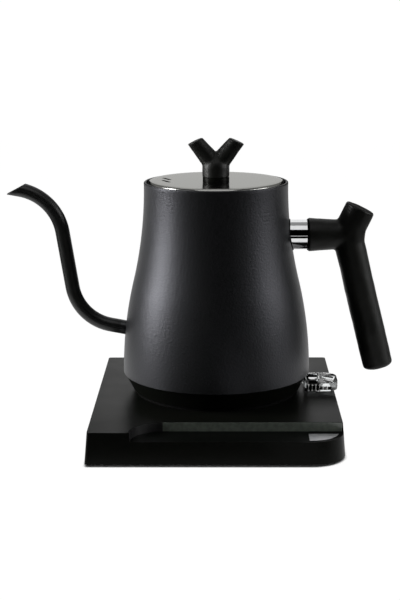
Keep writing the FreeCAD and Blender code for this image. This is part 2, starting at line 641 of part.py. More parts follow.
# Heating element: an open ring of sheathed tube with a terminal pin at each end.
element_ring = doc.addObject("Part::Torus", "ElementRing")
element_ring.setExpression("Radius1", sized("element_radius"))
element_ring.setExpression("Radius2", sized("element_tube_radius"))
element_ring.setExpression("Angle3", sized("element_sweep"))
element_ring.Placement = Placement(Vector(), Rotation(Z, 180 + (360 - val("element_sweep")) / 2))
element_ring.setExpression("Placement.Base.z", sized("%s - element_tube_radius" % SPREADER_UNDER))
terminals = []
for name, sign in (("TerminalFront", "-"), ("TerminalBack", "")):
    inward = "(element_radius - element_tube_radius / 2)"
    half_gap = "((360 - element_sweep) / 2 + 5)"
    terminals.append(rod(name, "terminal_radius", "terminal_length", (
        "-element_radius * cos(%s * 1deg)" % half_gap,
        "%selement_radius * sin(%s * 1deg)" % (sign, half_gap),
        "%s - element_tube_radius - terminal_length" % SPREADER_UNDER,
    )))
keep("heating_element", fused("HeatingElement", element_ring, *terminals))

# Steam tube with its grommet, control with its bimetal disc, and the lamp behind the lever.
steam_top = "%s + steam_tube_height" % PLATE_TOP
steam_bottom = "(%s - steam_tube_tail)" % PLATE_UNDER
steam_length = "%s - %s" % (steam_top, steam_bottom)
steam_foot = ("steam_tube_reach", "0", steam_bottom)
steam_outside = rod("SteamOutside", "steam_tube_radius", steam_length, steam_foot)
steam_bore = rod("SteamBore", "steam_tube_radius - steam_tube_wall", steam_length, steam_foot)
keep("steam_tube", cut("SteamTube", steam_outside, steam_bore))
grommet_neck = rod("GrommetNeck", grommet_radius, "plate_thickness", ("steam_tube_reach", "0", PLATE_UNDER))
grommet_cap = rod(
    "GrommetCap", "%s + grommet_flange" % grommet_radius, "grommet_flange_thickness",
    ("steam_tube_reach", "0", PLATE_TOP),
)
keep("steam_tube_seal", cut("SteamTubeSeal", fused("GrommetStock", grommet_neck, grommet_cap), steam_outside))
bimetal_under = "(%s - bimetal_thickness)" % SPREADER_UNDER
keep("control_unit", disc("ControlUnit", "control_radius", PLUG_TOP, bimetal_under))
keep("bimetal_disc", disc("BimetalDisc", "bimetal_radius", bimetal_under, SPREADER_UNDER))
keep("indicator_lamp", rod(
    "IndicatorLamp", "lamp_radius", "lamp_length", ("lamp_reach", "0", "%s + lamp_radius" % SKIRT_FLOOR),
    ALONG_X,
))

# Plug half under the kettle: a cup over the socket's nose, with a pin and a ring.
cup_radius = "(nose_radius + plug_clearance)"
plug_flange_top = "(%s + plug_flange_thickness)" % SKIRT_FLOOR
plug_neck = "(skirt_opening - cover_clearance)"
keep("connector_shell", revolved("ConnectorShell", [
    ("0", PLUG_CEILING), (cup_radius, PLUG_CEILING), (cup_radius, KETTLE_FOOT), (plug_neck, KETTLE_FOOT),
    (plug_neck, SKIRT_FLOOR), ("skirt_opening + plug_flange_overlap", SKIRT_FLOOR),
    ("skirt_opening + plug_flange_overlap", plug_flange_top),
    ("%s + plug_wall" % cup_radius, plug_flange_top),
    ("%s + plug_wall" % cup_radius, PLUG_TOP), ("0", PLUG_TOP),
]))
plug_ceiling = val(PLUG_CEILING)
keep("connector_contacts", solid("ConnectorContacts", Part.makeCompound([
    cylinder(val("pin_radius"), Vector(0, 0, plug_ceiling), -Z, val("pin_length")),
    tube_shape(
        val("slot_outer_radius - ring_clearance"), val("slot_inner_radius + ring_clearance"),
        plug_ceiling - val("ring_length"), val("ring_length"),
    ),
])))

# Handle: a rod welded to the pot, a bright collar round it, and a branch-shaped grip.
handle_level = val(HANDLE_AXIS)
X = Vector(1, 0, 0)
elbow = Vector(val("elbow_reach"), 0, handle_level)
washer_end = "(collar_reach + collar_washer_thickness)"
rod_stock = rod("RodStock", "stud_rod_radius", "stud_rod_reach", ("0", "0", HANDLE_AXIS), ALONG_X)
keep("handle_stud", cut("HandleStud", rod_stock, pot_space))
collar_stock = rod("CollarStock", "collar_radius", "collar_reach", ("0", "0", HANDLE_AXIS), ALONG_X)
rod_bore = rod(
    "RodBore", "stud_rod_radius + insert_clearance", washer_end, ("0", "0", HANDLE_AXIS), ALONG_X
)
keep("handle_collar", cut("HandleCollar", collar_stock, pot_space, rod_bore))
washer_stock = rod(
    "WasherStock", "collar_washer_radius", "collar_washer_thickness", ("collar_reach", "0", HANDLE_AXIS),
    ALONG_X,
)
keep("collar_washer", cut("CollarWasher", washer_stock, rod_bore))
insert_length = "insert_reach - %s" % washer_end
insert_foot = (washer_end, "0", HANDLE_AXIS)
insert_stock = rod("InsertStock", "insert_radius", insert_length, insert_foot, ALONG_X)
insert_bore = rod("InsertBore", "stud_rod_radius + insert_clearance", insert_length, insert_foot, ALONG_X)
keep("grip_insert", cut("GripInsert", insert_stock, insert_bore))

lean = math.radians(val("grip_lean"))
stub_lean = math.radians(val("stub_lean"))
grip_way = Vector(math.sin(lean), 0, -math.cos(lean))
stub_way = Vector(math.sin(stub_lean), 0, math.cos(stub_lean))
arm_start = val(washer_end)
arm = Part.makeCone(
    val("arm_root_radius"), val("arm_end_radius"), val("elbow_reach") - arm_start,
    Vector(arm_start, 0, handle_level), X,
)
grip_end = elbow + grip_way * val("grip_length")
stick = cylinder(val("grip_radius"), elbow, grip_way, val("grip_length"))
end_edges = [edge for edge in stick.Edges if edge.CenterOfMass.isEqual(grip_end, 0.001)]
stick = stick.makeFillet(val("grip_end_round"), end_edges)
stub_end = elbow + stub_way * val("stub_length")
stub = cylinder(val("grip_radius"), elbow, stub_way, val("stub_length"))
stub_edges = [edge for edge in stub.Edges if edge.CenterOfMass.isEqual(stub_end, 0.001)]
stub = stub.makeChamfer(val("stub_chamfer"), stub_edges)
knuckle = Part.makeSphere(val("grip_radius"), elbow)
web_foot = elbow + grip_way * val("elbow_web")
web_way = (stub_way - grip_way) * val("elbow_web")
web = cylinder(val("grip_radius - web_inset"), web_foot, web_way, web_way.Length)
grip_stock = solid("GripStock", stick.fuse([stub, arm, knuckle, web]).removeSplitter())
keep("handle_grip", cut("HandleGrip", grip_stock, insert_stock))

# Lid: a steel plate with two slanted vents, an inner ring with its seal, and a branch-shaped knob.
lid_edge = "(%s + lift_gap)" % SEAT
lid_bore = "(lid_screw_radius + lid_screw_clearance)"
lid_stock = revolved("LidStock", [
    (lid_bore, LID_UNDER), ("lid_radius - lid_thickness", LID_UNDER),
    ("lid_radius - lid_thickness", lid_edge),
    ("lid_radius", lid_edge), ("lid_radius", "%s - lid_round" % LID_TOP, "lid_round"),
    ("lid_radius - lid_round", LID_TOP), (lid_bore, LID_TOP),
])
vents = []
vent_half = val("(vent_length - vent_width) / 2")
vent_way = Vector(
    math.cos(math.radians(val("vent_angle"))), math.sin(math.radians(val("vent_angle"))), 0
)
for side in (-1, 1):
    centre = Vector(-val("vent_reach"), side * val("vent_spacing") / 2, val(LID_UNDER))
    ends = [centre - vent_way * vent_half, centre + vent_way * vent_half]
    slot_box = Part.makeBox(2 * vent_half, val("vent_width"), val("lid_thickness"))
    slot_box.translate(Vector(-vent_half, -val("vent_width") / 2, 0))
    slot_box.Placement = Placement(centre, Rotation(Z, val("vent_angle"))).multiply(slot_box.Placement)
    rounds = [cylinder(val("vent_width") / 2, end, Z, val("lid_thickness")) for end in ends]
    vents.append(slot_box.fuse(rounds))
keep("lid_plate", cut("LidPlate", lid_stock, solid("Vents", Part.makeCompound(vents))))
ring_inside = "(lid_ring_radius - lid_ring_wall)"
keep("lid_ring", revolved("LidRing", [
    ("lid_ring_radius - lid_ring_flange", "%s - lid_ring_wall" % LID_UNDER),
    (ring_inside, "%s - lid_ring_wall" % LID_UNDER),
    (ring_inside, "%s - lid_ring_depth" % LID_UNDER), ("lid_ring_radius", "%s - lid_ring_depth" % LID_UNDER),
    ("lid_ring_radius", LID_UNDER), ("lid_ring_radius - lid_ring_flange", LID_UNDER),
]))
seal_top = "(%s - seal_drop)" % LID_UNDER
keep("lid_seal", ring(
    "LidSeal", "lid_ring_radius + seal_thickness", "lid_ring_radius", "(%s - seal_height)" % seal_top,
    seal_top,
))
keep("knob_collar", ring("KnobCollar", "knob_radius", lid_bore, LID_TOP, KNOB_FOOT))
lid_level = val(LID_TOP)
ball_centre = Vector(0, 0, lid_level + val("knob_ball_height"))
knob_parts = [Part.makeSphere(val("knob_radius"), ball_centre, Z, 0, 90, 360)]
arm_overrun = val("knob_arm_radius")
arm_reach = val("knob_arm_length") + arm_overrun
arm_tip_radius = val("knob_arm_radius") - arm_reach * math.tan(math.radians(val("knob_arm_taper")))
for side in (-1, 1):
    arm_lean = math.radians(val("knob_arm_lean"))
    arm_foot = Vector(0, 0, lid_level + val("knob_arm_height"))
    arm_way = Vector(side * math.sin(arm_lean), 0, math.cos(arm_lean))
    branch = Part.makeCone(val("knob_arm_radius"), arm_tip_radius, arm_reach, arm_foot, arm_way)
    cut_lean = math.radians(val("knob_cut_lean"))
    cut_way = Vector(side * math.sin(cut_lean), 0, math.cos(cut_lean))
    arm_end = arm_foot + arm_way * val("knob_arm_length")
    end_cutter = cylinder(2 * arm_overrun, arm_end, cut_way, 2 * arm_overrun)
    own_side = Part.makeBox(2 * arm_reach, 4 * arm_overrun, 4 * arm_reach)
    own_side.translate(Vector(min(0, side * 2 * arm_reach), -2 * arm_overrun, lid_level - 2 * arm_reach))
    knob_parts.append(branch.cut(end_cutter).common(own_side))
knob_stem = cylinder(val("knob_radius"), Vector(0, 0, val(KNOB_FOOT)), Z, ball_centre.z - val(KNOB_FOOT))
knob_stock = solid("KnobStock", knob_stem.fuse(knob_parts).removeSplitter())
insert_top = "(%s + knob_insert_length)" % KNOB_FOOT
keep("lid_knob", cut("LidKnob", knob_stock, disc("KnobPocket", "knob_insert_radius", KNOB_FOOT, insert_top)))
keep("knob_insert", ring(
    "KnobInsert", "knob_insert_radius", "lid_screw_radius + insert_clearance", KNOB_FOOT, insert_top
))
washer_under = "(%s - knob_washer_thickness)" % LID_UNDER
keep("knob_washer", ring("KnobWasher", "knob_washer_radius", lid_bore, washer_under, LID_UNDER))
screw_top = "(%s + knob_screw_grip)" % KNOB_FOOT
keep("knob_screw", revolved("KnobScrew", [
    ("0", "%s - knob_screw_head_height" % washer_under),
    ("knob_screw_head_radius", "%s - knob_screw_head_height" % washer_under),
    ("knob_screw_head_radius", washer_under), ("lid_screw_radius", washer_under),
    ("lid_screw_radius", screw_top), ("0", screw_top),
]))

# Switch lever: a clear tab under the handle on a hinge pin inside the skirt.
tab_half = "(lever_tab_width / 2)"
tab_bottom = "(%s - lever_tab_height)" % LEVER_AXIS
lever_tab = padded("LeverTab", [
    ("lever_tab_start", "-" + tab_half),
    ("lever_tab_end - lever_tab_round", "-" + tab_half, "lever_tab_round"),
    ("lever_tab_end", "lever_tab_round - " + tab_half),
    ("lever_tab_end", tab_half + " - lever_tab_round", "lever_tab_round"),
    ("lever_tab_end - lever_tab_round", tab_half), ("lever_tab_start", tab_half),
], tab_bottom, LEVER_AXIS)
lever_arm = block(
    "LeverArm",
    ("lever_pivot_reach", "-lever_arm_width / 2", "%s - lever_arm_thickness" % LEVER_AXIS),
    ("lever_tab_start + lever_arm_thickness", "lever_arm_width / 2", LEVER_AXIS),
)
lever_hub = rod(
    "LeverHub", "lever_hub_radius", "lever_arm_width",
    ("lever_pivot_reach", "-lever_arm_width / 2", LEVER_AXIS), ALONG_Y,
)
lever_bore = rod(
    "LeverBore", "lever_pin_radius + lever_pin_clearance", "lever_arm_width",
    ("lever_pivot_reach", "-lever_arm_width / 2", LEVER_AXIS), ALONG_Y,
)
keep("switch_lever", cut("SwitchLever", fused("LeverStock", lever_tab, lever_arm, lever_hub), lever_bore))

doc.recompute()
failed = [item.Label for item in doc.Objects if {"Invalid", "Error"} & set(item.State)]
if failed:
    raise RuntimeError("objects that failed: " + ", ".join(failed))
for name, item in nodes.items():
    if item.Label != name or item.Shape.isNull() or not item.Shape.isValid() or not item.Shape.Solids:
        raise RuntimeError("not a sound solid: " + name)

os.makedirs("parts", exist_ok=True)
for name, item in nodes.items():
    item.Shape.exportStep(os.path.join("parts", name + ".step"))
print("%d sub-parts" % len(nodes))
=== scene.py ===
"""Looks of a cordless electric kettle: black coated pot, gooseneck spout, branch-like handle, power base.

Metres, +Z up, the spout towards -X, the handle towards +X and the ledge of the base towards -Y.
"""
import math

import bmesh
import bpy
from mathutils import Matrix, Vector, noise


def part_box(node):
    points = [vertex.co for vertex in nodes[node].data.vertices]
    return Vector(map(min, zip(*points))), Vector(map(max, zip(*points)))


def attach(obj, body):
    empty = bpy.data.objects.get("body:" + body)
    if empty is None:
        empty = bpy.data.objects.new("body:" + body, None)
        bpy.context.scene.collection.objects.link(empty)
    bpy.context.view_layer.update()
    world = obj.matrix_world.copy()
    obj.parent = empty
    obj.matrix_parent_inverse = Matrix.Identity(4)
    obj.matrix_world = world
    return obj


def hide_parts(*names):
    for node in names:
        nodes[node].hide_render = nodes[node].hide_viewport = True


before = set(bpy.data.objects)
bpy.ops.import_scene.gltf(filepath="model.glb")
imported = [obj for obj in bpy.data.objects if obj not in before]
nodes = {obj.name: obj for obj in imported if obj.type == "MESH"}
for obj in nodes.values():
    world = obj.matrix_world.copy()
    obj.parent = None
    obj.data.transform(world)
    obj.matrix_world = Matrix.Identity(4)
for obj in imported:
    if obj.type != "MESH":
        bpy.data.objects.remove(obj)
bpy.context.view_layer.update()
scene = bpy.context.scene
scene.view_settings.view_transform = "Standard"
MM = 0.001
LOW, HIGH = 0, 1


def edge_of(node, end, axis):
    """Where a node starts (LOW) or stops (HIGH) along an axis, in millimetres."""
    return round(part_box(node)[end]["xyz".index(axis)] / MM, 2)


# Sizes in millimetres: what the frame shows is read from it, walls and rounds are as in the part's source.
POT_FOOT, RIM = edge_of("kettle_body", LOW, "z"), edge_of("kettle_body", HIGH, "z")
POT_RADIUS, NECK_RADIUS, MOUTH_RADIUS = edge_of("kettle_body", HIGH, "x"), 51.5, 45.6
NECK_HEIGHT, FLEX_HEIGHT, POT_WALL = 2.6, 66.8, 1.0
RIM_WIDTH, RIM_ROUND, SEAT_DROP, SEAT_THICKNESS = 1.8, 0.8, 4.0, 1.0
BELL_HEIGHT, SEAT = RIM - POT_FOOT - NECK_HEIGHT, RIM - SEAT_DROP
LID_FOOT, LID_TOP = edge_of("lid_plate", LOW, "z"), edge_of("lid_plate", HIGH, "z")
LID_RADIUS, LID_THICKNESS, LID_ROUND, LID_BORE = edge_of("lid_plate", HIGH, "x"), 0.8, 2.0, 2.1
HANDLE_AXIS = (edge_of("handle_collar", LOW, "z") + edge_of("handle_collar", HIGH, "z")) / 2
COLLAR_RADIUS, COLLAR_END = edge_of("handle_collar", HIGH, "y"), edge_of("handle_collar", HIGH, "x")
PLINTH_RADIUS, BASE_TOP = 59.0, edge_of("ledge_panel", HIGH, "z")


# Materials

# Grain widths are real ones in millimetres, unless a comment says that they are drawn coarser.
# Where the darker and the lighter tone stand on a pattern, and how many grains wide a patch of polish is.
GRAIN_SPREAD, METAL_SPREAD, PATCH_WIDTH = (0.35, 0.7), (0.3, 0.7), 40


def colour(hex_code):
    """An sRGB hex value as linear RGBA."""
    channels = [int(hex_code[i:i + 2], 16) / 255 for i in (1, 3, 5)]
    return [c / 12.92 if c <= 0.04045 else ((c + 0.055) / 1.055) ** 2.4 for c in channels] + [1.0]


def add(tree, kind, links=None, stops=(), **settings):
    """A node with its settings and its two colour stops, if any, and its inputs set to values or linked."""
    made = tree.nodes.new(kind)
    for name, value in settings.items():
        setattr(made, name, value)
    for index, (position, hex_code) in enumerate(stops):
        made.color_ramp.elements[index].position = position
        made.color_ramp.elements[index].color = colour(hex_code)
    for socket, value in (links or {}).items():
        if isinstance(value, bpy.types.NodeSocket):
            tree.links.new(value, made.inputs[socket])
        else:
            made.inputs[socket].default_value = value
    return made


def material(name, **sockets):
    """A named Principled material, with its shader and its Object coordinates."""
    made = bpy.data.materials.new(name)
    made.use_nodes = True
    tree = made.node_tree
    shader = tree.nodes["Principled BSDF"]
    for socket, value in sockets.items():
        shader.inputs[socket.replace("_", " ")].default_value = value
    place = add(tree, "ShaderNodeTexCoord").outputs["Object"]
    return made, tree, shader, place


def per_mm(grain):
    """Noise scale, in repeats per metre, for a grain of so many millimetres."""
    return 1 / (grain * MM)


def dress(tree, shader, toned_by, tones, spread, polished_by, roughness, raised=None):
    """Give a shader two tones by one pattern, a range of roughness by another, and a raised surface."""
    stops = list(zip(spread, tones))
    tone = add(tree, "ShaderNodeValToRGB", {"Fac": toned_by.outputs["Fac"]}, stops=stops)
    polish = add(tree, "ShaderNodeMapRange", {
        "Value": polished_by.outputs["Fac"], "To Min": roughness[0], "To Max": roughness[1],
    })
    tree.links.new(tone.outputs["Color"], shader.inputs["Base Color"])
    tree.links.new(polish.outputs["Result"], shader.inputs["Roughness"])
    if raised is not None:
        tree.links.new(raised.outputs["Normal"], shader.inputs["Normal"])


def grain_finish(name, dark, light, grain, roughness, bump, depth=0.05, **sockets):
    """A moulded or coated finish: a fine grain in tone and height, so wide and deep in millimetres.

    Broad patches have more or less polish.
    """
    made, tree, shader, place = material(name, **sockets)
    fine = add(tree, "ShaderNodeTexNoise", {"Vector": place, "Scale": per_mm(grain), "Detail": 3.0})
    broad = add(tree, "ShaderNodeTexNoise", {
        "Vector": place, "Scale": per_mm(grain * PATCH_WIDTH), "Detail": 2.0,
    })
    raised = add(tree, "ShaderNodeBump", {
        "Height": fine.outputs["Fac"], "Strength": bump, "Distance": depth * MM,
    })
    dress(tree, shader, fine, (dark, light), GRAIN_SPREAD, broad, roughness, raised)
    return made


def plain_metal(name, dark, light, roughness, grain=6.0):
    """A metal whose tone and polish drift a little over the surface."""
    made, tree, shader, place = material(name, Metallic=1.0)
    drift = add(tree, "ShaderNodeTexNoise", {"Vector": place, "Scale": per_mm(grain), "Detail": 4.0})
    dress(tree, shader, drift, (dark, light), METAL_SPREAD, drift, roughness)
    return made


def turned_steel(name, dark, light, roughness, edge_tint):
    """Stainless sheet turned on a lathe: faint rings about the kettle's axis in tone, polish and height."""
    made, tree, shader, place = material(name, Metallic=1.0, Specular_Tint=colour(edge_tint))
    apart = add(tree, "ShaderNodeSeparateXYZ", {"Vector": place})
    flat = add(tree, "ShaderNodeCombineXYZ", {"X": apart.outputs["X"], "Y": apart.outputs["Y"]})
    radius = add(tree, "ShaderNodeVectorMath", {"Vector": flat.outputs["Vector"]}, operation="LENGTH")
    # Turning marks are a few hundredths of a millimetre wide, drawn at 0.6 mm so that they show.
    rings = add(tree, "ShaderNodeTexNoise", {
        "W": radius.outputs["Value"], "Scale": per_mm(0.6), "Detail": 2.0,
    }, noise_dimensions="1D")
    raised = add(tree, "ShaderNodeBump", {
        "Height": rings.outputs["Fac"], "Strength": 0.02, "Distance": 0.02 * MM,
    })
    dress(tree, shader, rings, (dark, light), METAL_SPREAD, rings, roughness, raised)
    return made


def branch_finish(name, dark, light, roughness, **sockets):
    """A moulding like a peeled branch: soft dents, faint long streaks, patches of more and less polish."""
    made, tree, shader, place = material(name, **sockets)
    # Dents of a finger's width of 14 mm, and streaks 2.5 mm wide that run six times as long.
    dents = add(tree, "ShaderNodeTexNoise", {"Vector": place, "Scale": per_mm(14.0), "Detail": 2.0})
    along = add(tree, "ShaderNodeMapping", {"Vector": place, "Scale": (1.0, 1.0, 0.17)})
    streaks = add(tree, "ShaderNodeTexNoise", {
        "Vector": along.outputs["Vector"], "Scale": per_mm(2.5), "Detail": 4.0,
    })
    soft = add(tree, "ShaderNodeBump", {
        "Height": dents.outputs["Fac"], "Strength": 0.5, "Distance": 0.8 * MM,
    })
    fine = add(tree, "ShaderNodeBump", {
        "Height": streaks.outputs["Fac"], "Strength": 0.12, "Distance": 0.2 * MM,
        "Normal": soft.outputs["Normal"],
    })
    dress(tree, shader, dents, (dark, light), GRAIN_SPREAD, dents, roughness, fine)
    return made


def clear_finish(name, tint, ior, waves):
    """A clear moulding or capsule, with the faint waviness of its making, 4 mm from wave to wave."""
    made, tree, shader, place = material(
        name, Base_Color=colour(tint), Roughness=0.04, IOR=ior, Transmission_Weight=1.0
    )
    wavy = add(tree, "ShaderNodeTexNoise", {"Vector": place, "Scale": per_mm(4.0), "Detail": 1.0})
    raised = add(tree, "ShaderNodeBump", {
        "Height": wavy.outputs["Fac"], "Strength": waves, "Distance": 0.4 * MM,
    })
    tree.links.new(raised.outputs["Normal"], shader.inputs["Normal"])
    return made


# Polyester powder coat baked on steel: deep black with a broad soft sheen.
# Its orange peel is about 0.2 mm wide and far shallower, drawn at 1.5 mm so that it shows.
powder_coat = grain_finish(
    "black_powder_coat", "#090a09", "#0e0f0e", grain=1.5, roughness=(0.39, 0.47), bump=0.9, depth=0.14,
    Specular_IOR_Level=0.46, Specular_Tint=colour("#f2f3ff"),
)
# The same coat on the slim tube, where it flows out smoother: a bright line along each bend.
# Its peel is drawn at 0.9 mm.
tube_coat = grain_finish(
    "black_powder_coat_tube", "#090a09", "#0e0f0e", grain=0.9, roughness=(0.33, 0.4), bump=0.3,
    Specular_IOR_Level=0.5,
)
# ABS moulded in a spark-eroded tool: black and matt, with an even fine grain and little gloss.
# The grain is about 0.1 mm, drawn at 0.6 mm so that it shows.
matt_abs = grain_finish(
    "black_moulded_abs", "#0a0b09", "#10110e", grain=0.6, roughness=(0.3, 0.4), bump=0.35,
    Specular_IOR_Level=0.055,
)
# Smoked acrylic with a satin face: nearly black, soft reflections, the slightest drift in its polish.
satin_acrylic = grain_finish(
    "smoked_satin_acrylic", "#030403", "#070907", grain=3.0, roughness=(0.46, 0.54), bump=0.02,
    Specular_IOR_Level=0.06,
)
# The same acrylic as a thin upright window, with painted backlight: its dull grey-green stands for light
# coming through from behind, where the acrylic itself is nearly black.
backlit_wall_paint = grain_finish(
    "smoked_acrylic_painted_backlight", "#5c635b", "#6a7169", grain=3.0, roughness=(0.12, 0.2), bump=0.02
)
# The same acrylic bent hot round the ledge's end, black behind: satin, with a soft light along its curve.
satin_bend = grain_finish(
    "satin_bend_acrylic", "#0a0a0b", "#101012", grain=3.0, roughness=(0.4, 0.46), bump=0.02
)
# Nitrile rubber, pressed: black, dull and a little dusty.
# Its grain is about 0.1 mm, drawn at 0.8 mm so that it shows.
rubber = grain_finish(
    "black_rubber", "#060606", "#0c0c0c", grain=0.8, roughness=(0.7, 0.85), bump=0.4,
    Specular_IOR_Level=0.05,
)
# Food-grade silicone, pressed: milky, soft sheen.
silicone = grain_finish(
    "milky_silicone", "#c4c4bf", "#d6d6d1", grain=1.5, roughness=(0.5, 0.6), bump=0.1
)
# Glass-filled nylon, moulded: off-white and dry, with faint fibre mottle.
white_moulding = grain_finish(
    "white_heatproof_nylon", "#c9c6bd", "#dad7ce", grain=1.0, roughness=(0.45, 0.6), bump=0.2
)
# ABS with white pigment, moulded smooth: bright and clean, with a little gloss.
white_abs = grain_finish(
    "white_moulded_abs", "#e6e6e3", "#f0f0ee", grain=1.0, roughness=(0.2, 0.3), bump=0.1
)
# Stainless sheet, turned and buffed: a soft dim mirror with faint rings.
lid_steel = turned_steel(
    "turned_stainless_lid", "#a0a09d", "#aeaeab", roughness=(0.11, 0.17), edge_tint="#c6c6c4"
)
# Deep-drawn stainless: grey, half-bright, cloudy.
inner_steel = plain_metal("drawn_stainless", "#8d8e90", "#a2a3a4", roughness=(0.25, 0.38))
# Zinc-plated steel: pale grey, frosty, spotted in its polish.
zinc_steel = plain_metal("zinc_plated_steel", "#8a8b8c", "#a3a4a6", roughness=(0.3, 0.45), grain=2.0)
# Chrome on polished steel: a clean mirror.
chrome = plain_metal("polished_chrome", "#d6d7d8", "#e2e3e4", roughness=(0.05, 0.08), grain=12.0)
# Nickel-plated ring, darkened: a dull thin line at the spout's root.
root_metal = plain_metal("dark_nickel_ring", "#3a3b3c", "#4b4c4d", roughness=(0.3, 0.4), grain=3.0)
# Anodised aluminium, fine-blasted: even pale satin.
satin_plate = plain_metal(
    "satin_anodised_aluminium", "#d0d1d3", "#e2e3e5", roughness=(0.35, 0.45), grain=4.0
)
# Cast aluminium: pale, rough, cloudy.
cast_spreader = plain_metal("cast_aluminium", "#a9aaac", "#c0c1c3", roughness=(0.45, 0.6), grain=3.0)
# Rolled brass: warm yellow, half-bright.
brass = plain_metal("contact_brass", "#b08a45", "#c9a45c", roughness=(0.25, 0.4), grain=3.0)
# Glass-filled nylon moulded as a peeled branch: nearly black, dented, dull with a few polished patches.
branch = branch_finish(
    "black_branch_nylon", "#0a0b08", "#121310", roughness=(0.3, 0.62), Specular_IOR_Level=0.26
)
# Polycarbonate, moulded clear: bright edges, and wavy views of what lies behind.
clear_plastic = clear_finish("clear_polycarbonate", "#eef1f1", ior=1.585, waves=0.35)
# Soda glass of a small lamp: a faint amber.
lamp_glass = clear_finish("lamp_capsule_glass", "#f7d9c0", ior=1.5, waves=0.08)

node_finish = {
    "base_housing": matt_abs, "bottom_cover": matt_abs, "base_socket": matt_abs, "bottom_skirt": matt_abs,
    "connector_shell": matt_abs, "knob_collar": matt_abs, "ledge_panel": satin_acrylic,
    "ledge_end_plate": satin_plate, "base_feet": rubber, "cord_gland": rubber, "collar_washer": rubber,
    "cover_screws": zinc_steel, "socket_screws": zinc_steel, "skirt_screws": zinc_steel,
    "plate_studs": zinc_steel, "handle_stud": zinc_steel, "knob_screw": zinc_steel,
    "knob_washer": zinc_steel, "lever_pin": zinc_steel, "heating_element": zinc_steel,
    "bimetal_disc": inner_steel, "kettle_body": powder_coat, "spout_tube": powder_coat,
    "spout_root_ring": root_metal, "lid_plate": lid_steel, "lid_ring": inner_steel,
    "bottom_plate": inner_steel, "steam_tube": inner_steel, "lid_seal": silicone,
    "steam_tube_seal": silicone, "heat_spreader": cast_spreader, "control_unit": white_moulding,
    "socket_contacts": brass, "connector_contacts": brass, "grip_insert": brass, "knob_insert": brass,
    "handle_collar": chrome, "handle_grip": branch, "lid_knob": branch, "switch_lever": clear_plastic,
    "indicator_lamp": lamp_glass,
}
for name, finish in node_finish.items():
    slots = nodes[name].data.materials
    slots.clear()
    slots.append(finish)


# Making pieces

# Corners closer than this, in millimetres, are one. Angles in degrees: faces flatter than the first are one
# face, edges sharper than the second are drawn sharp, and those sharper than the third are rounded.
SAME_PLACE, FLAT_LIMIT, CREASE_LIMIT, ROUND_LIMIT = 0.002, 1.5, 35, 40


def piece(name, mesh, body, slot, *replaced):
    """A finished piece in place, with the body it moves with and the nodes it stands for."""
    made = bpy.data.objects.new(name, mesh)
    scene.collection.objects.link(made)
    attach(made, body)
    if replaced:
        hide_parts(*replaced)


def maker_of(name, mesh):
    """An object that only carries modifiers until its shape is baked."""
    made = bpy.data.objects.new(name, mesh)
    scene.collection.objects.link(made)
    return made


def baked(maker):
    """An object's shape after its modifiers, as a plain mesh; the object itself goes."""
    bpy.context.view_layer.update()
    mesh = bpy.data.meshes.new_from_object(maker.evaluated_get(bpy.context.evaluated_depsgraph_get()))
    bpy.data.objects.remove(maker)
    return mesh


def merged(mesh):
    """A mesh with its loose triangles joined, open for changes."""
    shape = bmesh.new()
    shape.from_mesh(mesh)
    bmesh.ops.remove_doubles(shape, verts=shape.verts, dist=SAME_PLACE * MM)
    return shape


def whole_faces(node):
    """A node's shape with its triangles joined to whole flat faces, open for changes."""
    shape = merged(nodes[node].data)
    bmesh.ops.dissolve_limit(
        shape, angle_limit=math.radians(FLAT_LIMIT), verts=shape.verts[:], edges=shape.edges[:]
    )
    return shape


def smooth_mesh(name, shape, finishes, limit=CREASE_LIMIT, outward=True):
    """A changed shape as a mesh: faces outward, smooth but for edges sharper than the limit."""
    bmesh.ops.remove_doubles(shape, verts=shape.verts, dist=SAME_PLACE * MM)
    if outward:
        bmesh.ops.recalc_face_normals(shape, faces=shape.faces)
    for face in shape.faces:
        face.smooth = True
    for edge in shape.edges:
        edge.smooth = edge.calc_face_angle(0) < math.radians(limit)
    mesh = bpy.data.meshes.new(name)
    shape.to_mesh(mesh)
    shape.free()
    for finish in finishes:
        mesh.materials.append(finish)
    return mesh


def cut_out(name, mesh, space):
    """A mesh with the space of another mesh taken away."""
    cutter = maker_of("cutter", space)
    maker = maker_of(name, mesh)
    taken = maker.modifiers.new("cut", "BOOLEAN")
    taken.operation, taken.object, taken.solver = "DIFFERENCE", cutter, "EXACT"
    made = baked(maker)
    bpy.data.objects.remove(cutter)
    return made


def turned(profile, steps):
    """A closed profile of (radius, height) turned about the kettle's axis."""
    shape = bmesh.new()
    corners = [shape.verts.new((radius * MM, 0, height * MM)) for radius, height in profile]
    edges = [shape.edges.new(pair) for pair in zip(corners, corners[1:] + corners[:1])]
    bmesh.ops.spin(
        shape, geom=corners + edges, cent=(0, 0, 0), axis=(0, 0, 1), angle=math.tau, steps=steps
    )
    bmesh.ops.remove_doubles(shape, verts=shape.verts, dist=SAME_PLACE * MM)
    bmesh.ops.recalc_face_normals(shape, faces=shape.faces)
    return shape


def blocks(name, boxes, finishes, round_edge=0.0):
    """Blocks as one mesh with rounded edges, given by their low and high corners in millimetres."""
    shape = bmesh.new()
    for low, high in boxes:
        size = Vector(high) - Vector(low)
        made = bmesh.ops.create_cube(shape, size=1)["verts"]
        bmesh.ops.scale(shape, vec=size * MM, verts=made)
        bmesh.ops.translate(shape, vec=(Vector(low) + size / 2) * MM, verts=made)
    if round_edge:
        bmesh.ops.bevel(
            shape, geom=shape.edges[:], offset=round_edge * MM, segments=2, profile=0.5, affect="EDGES"
        )
    return smooth_mesh(name, shape, finishes)


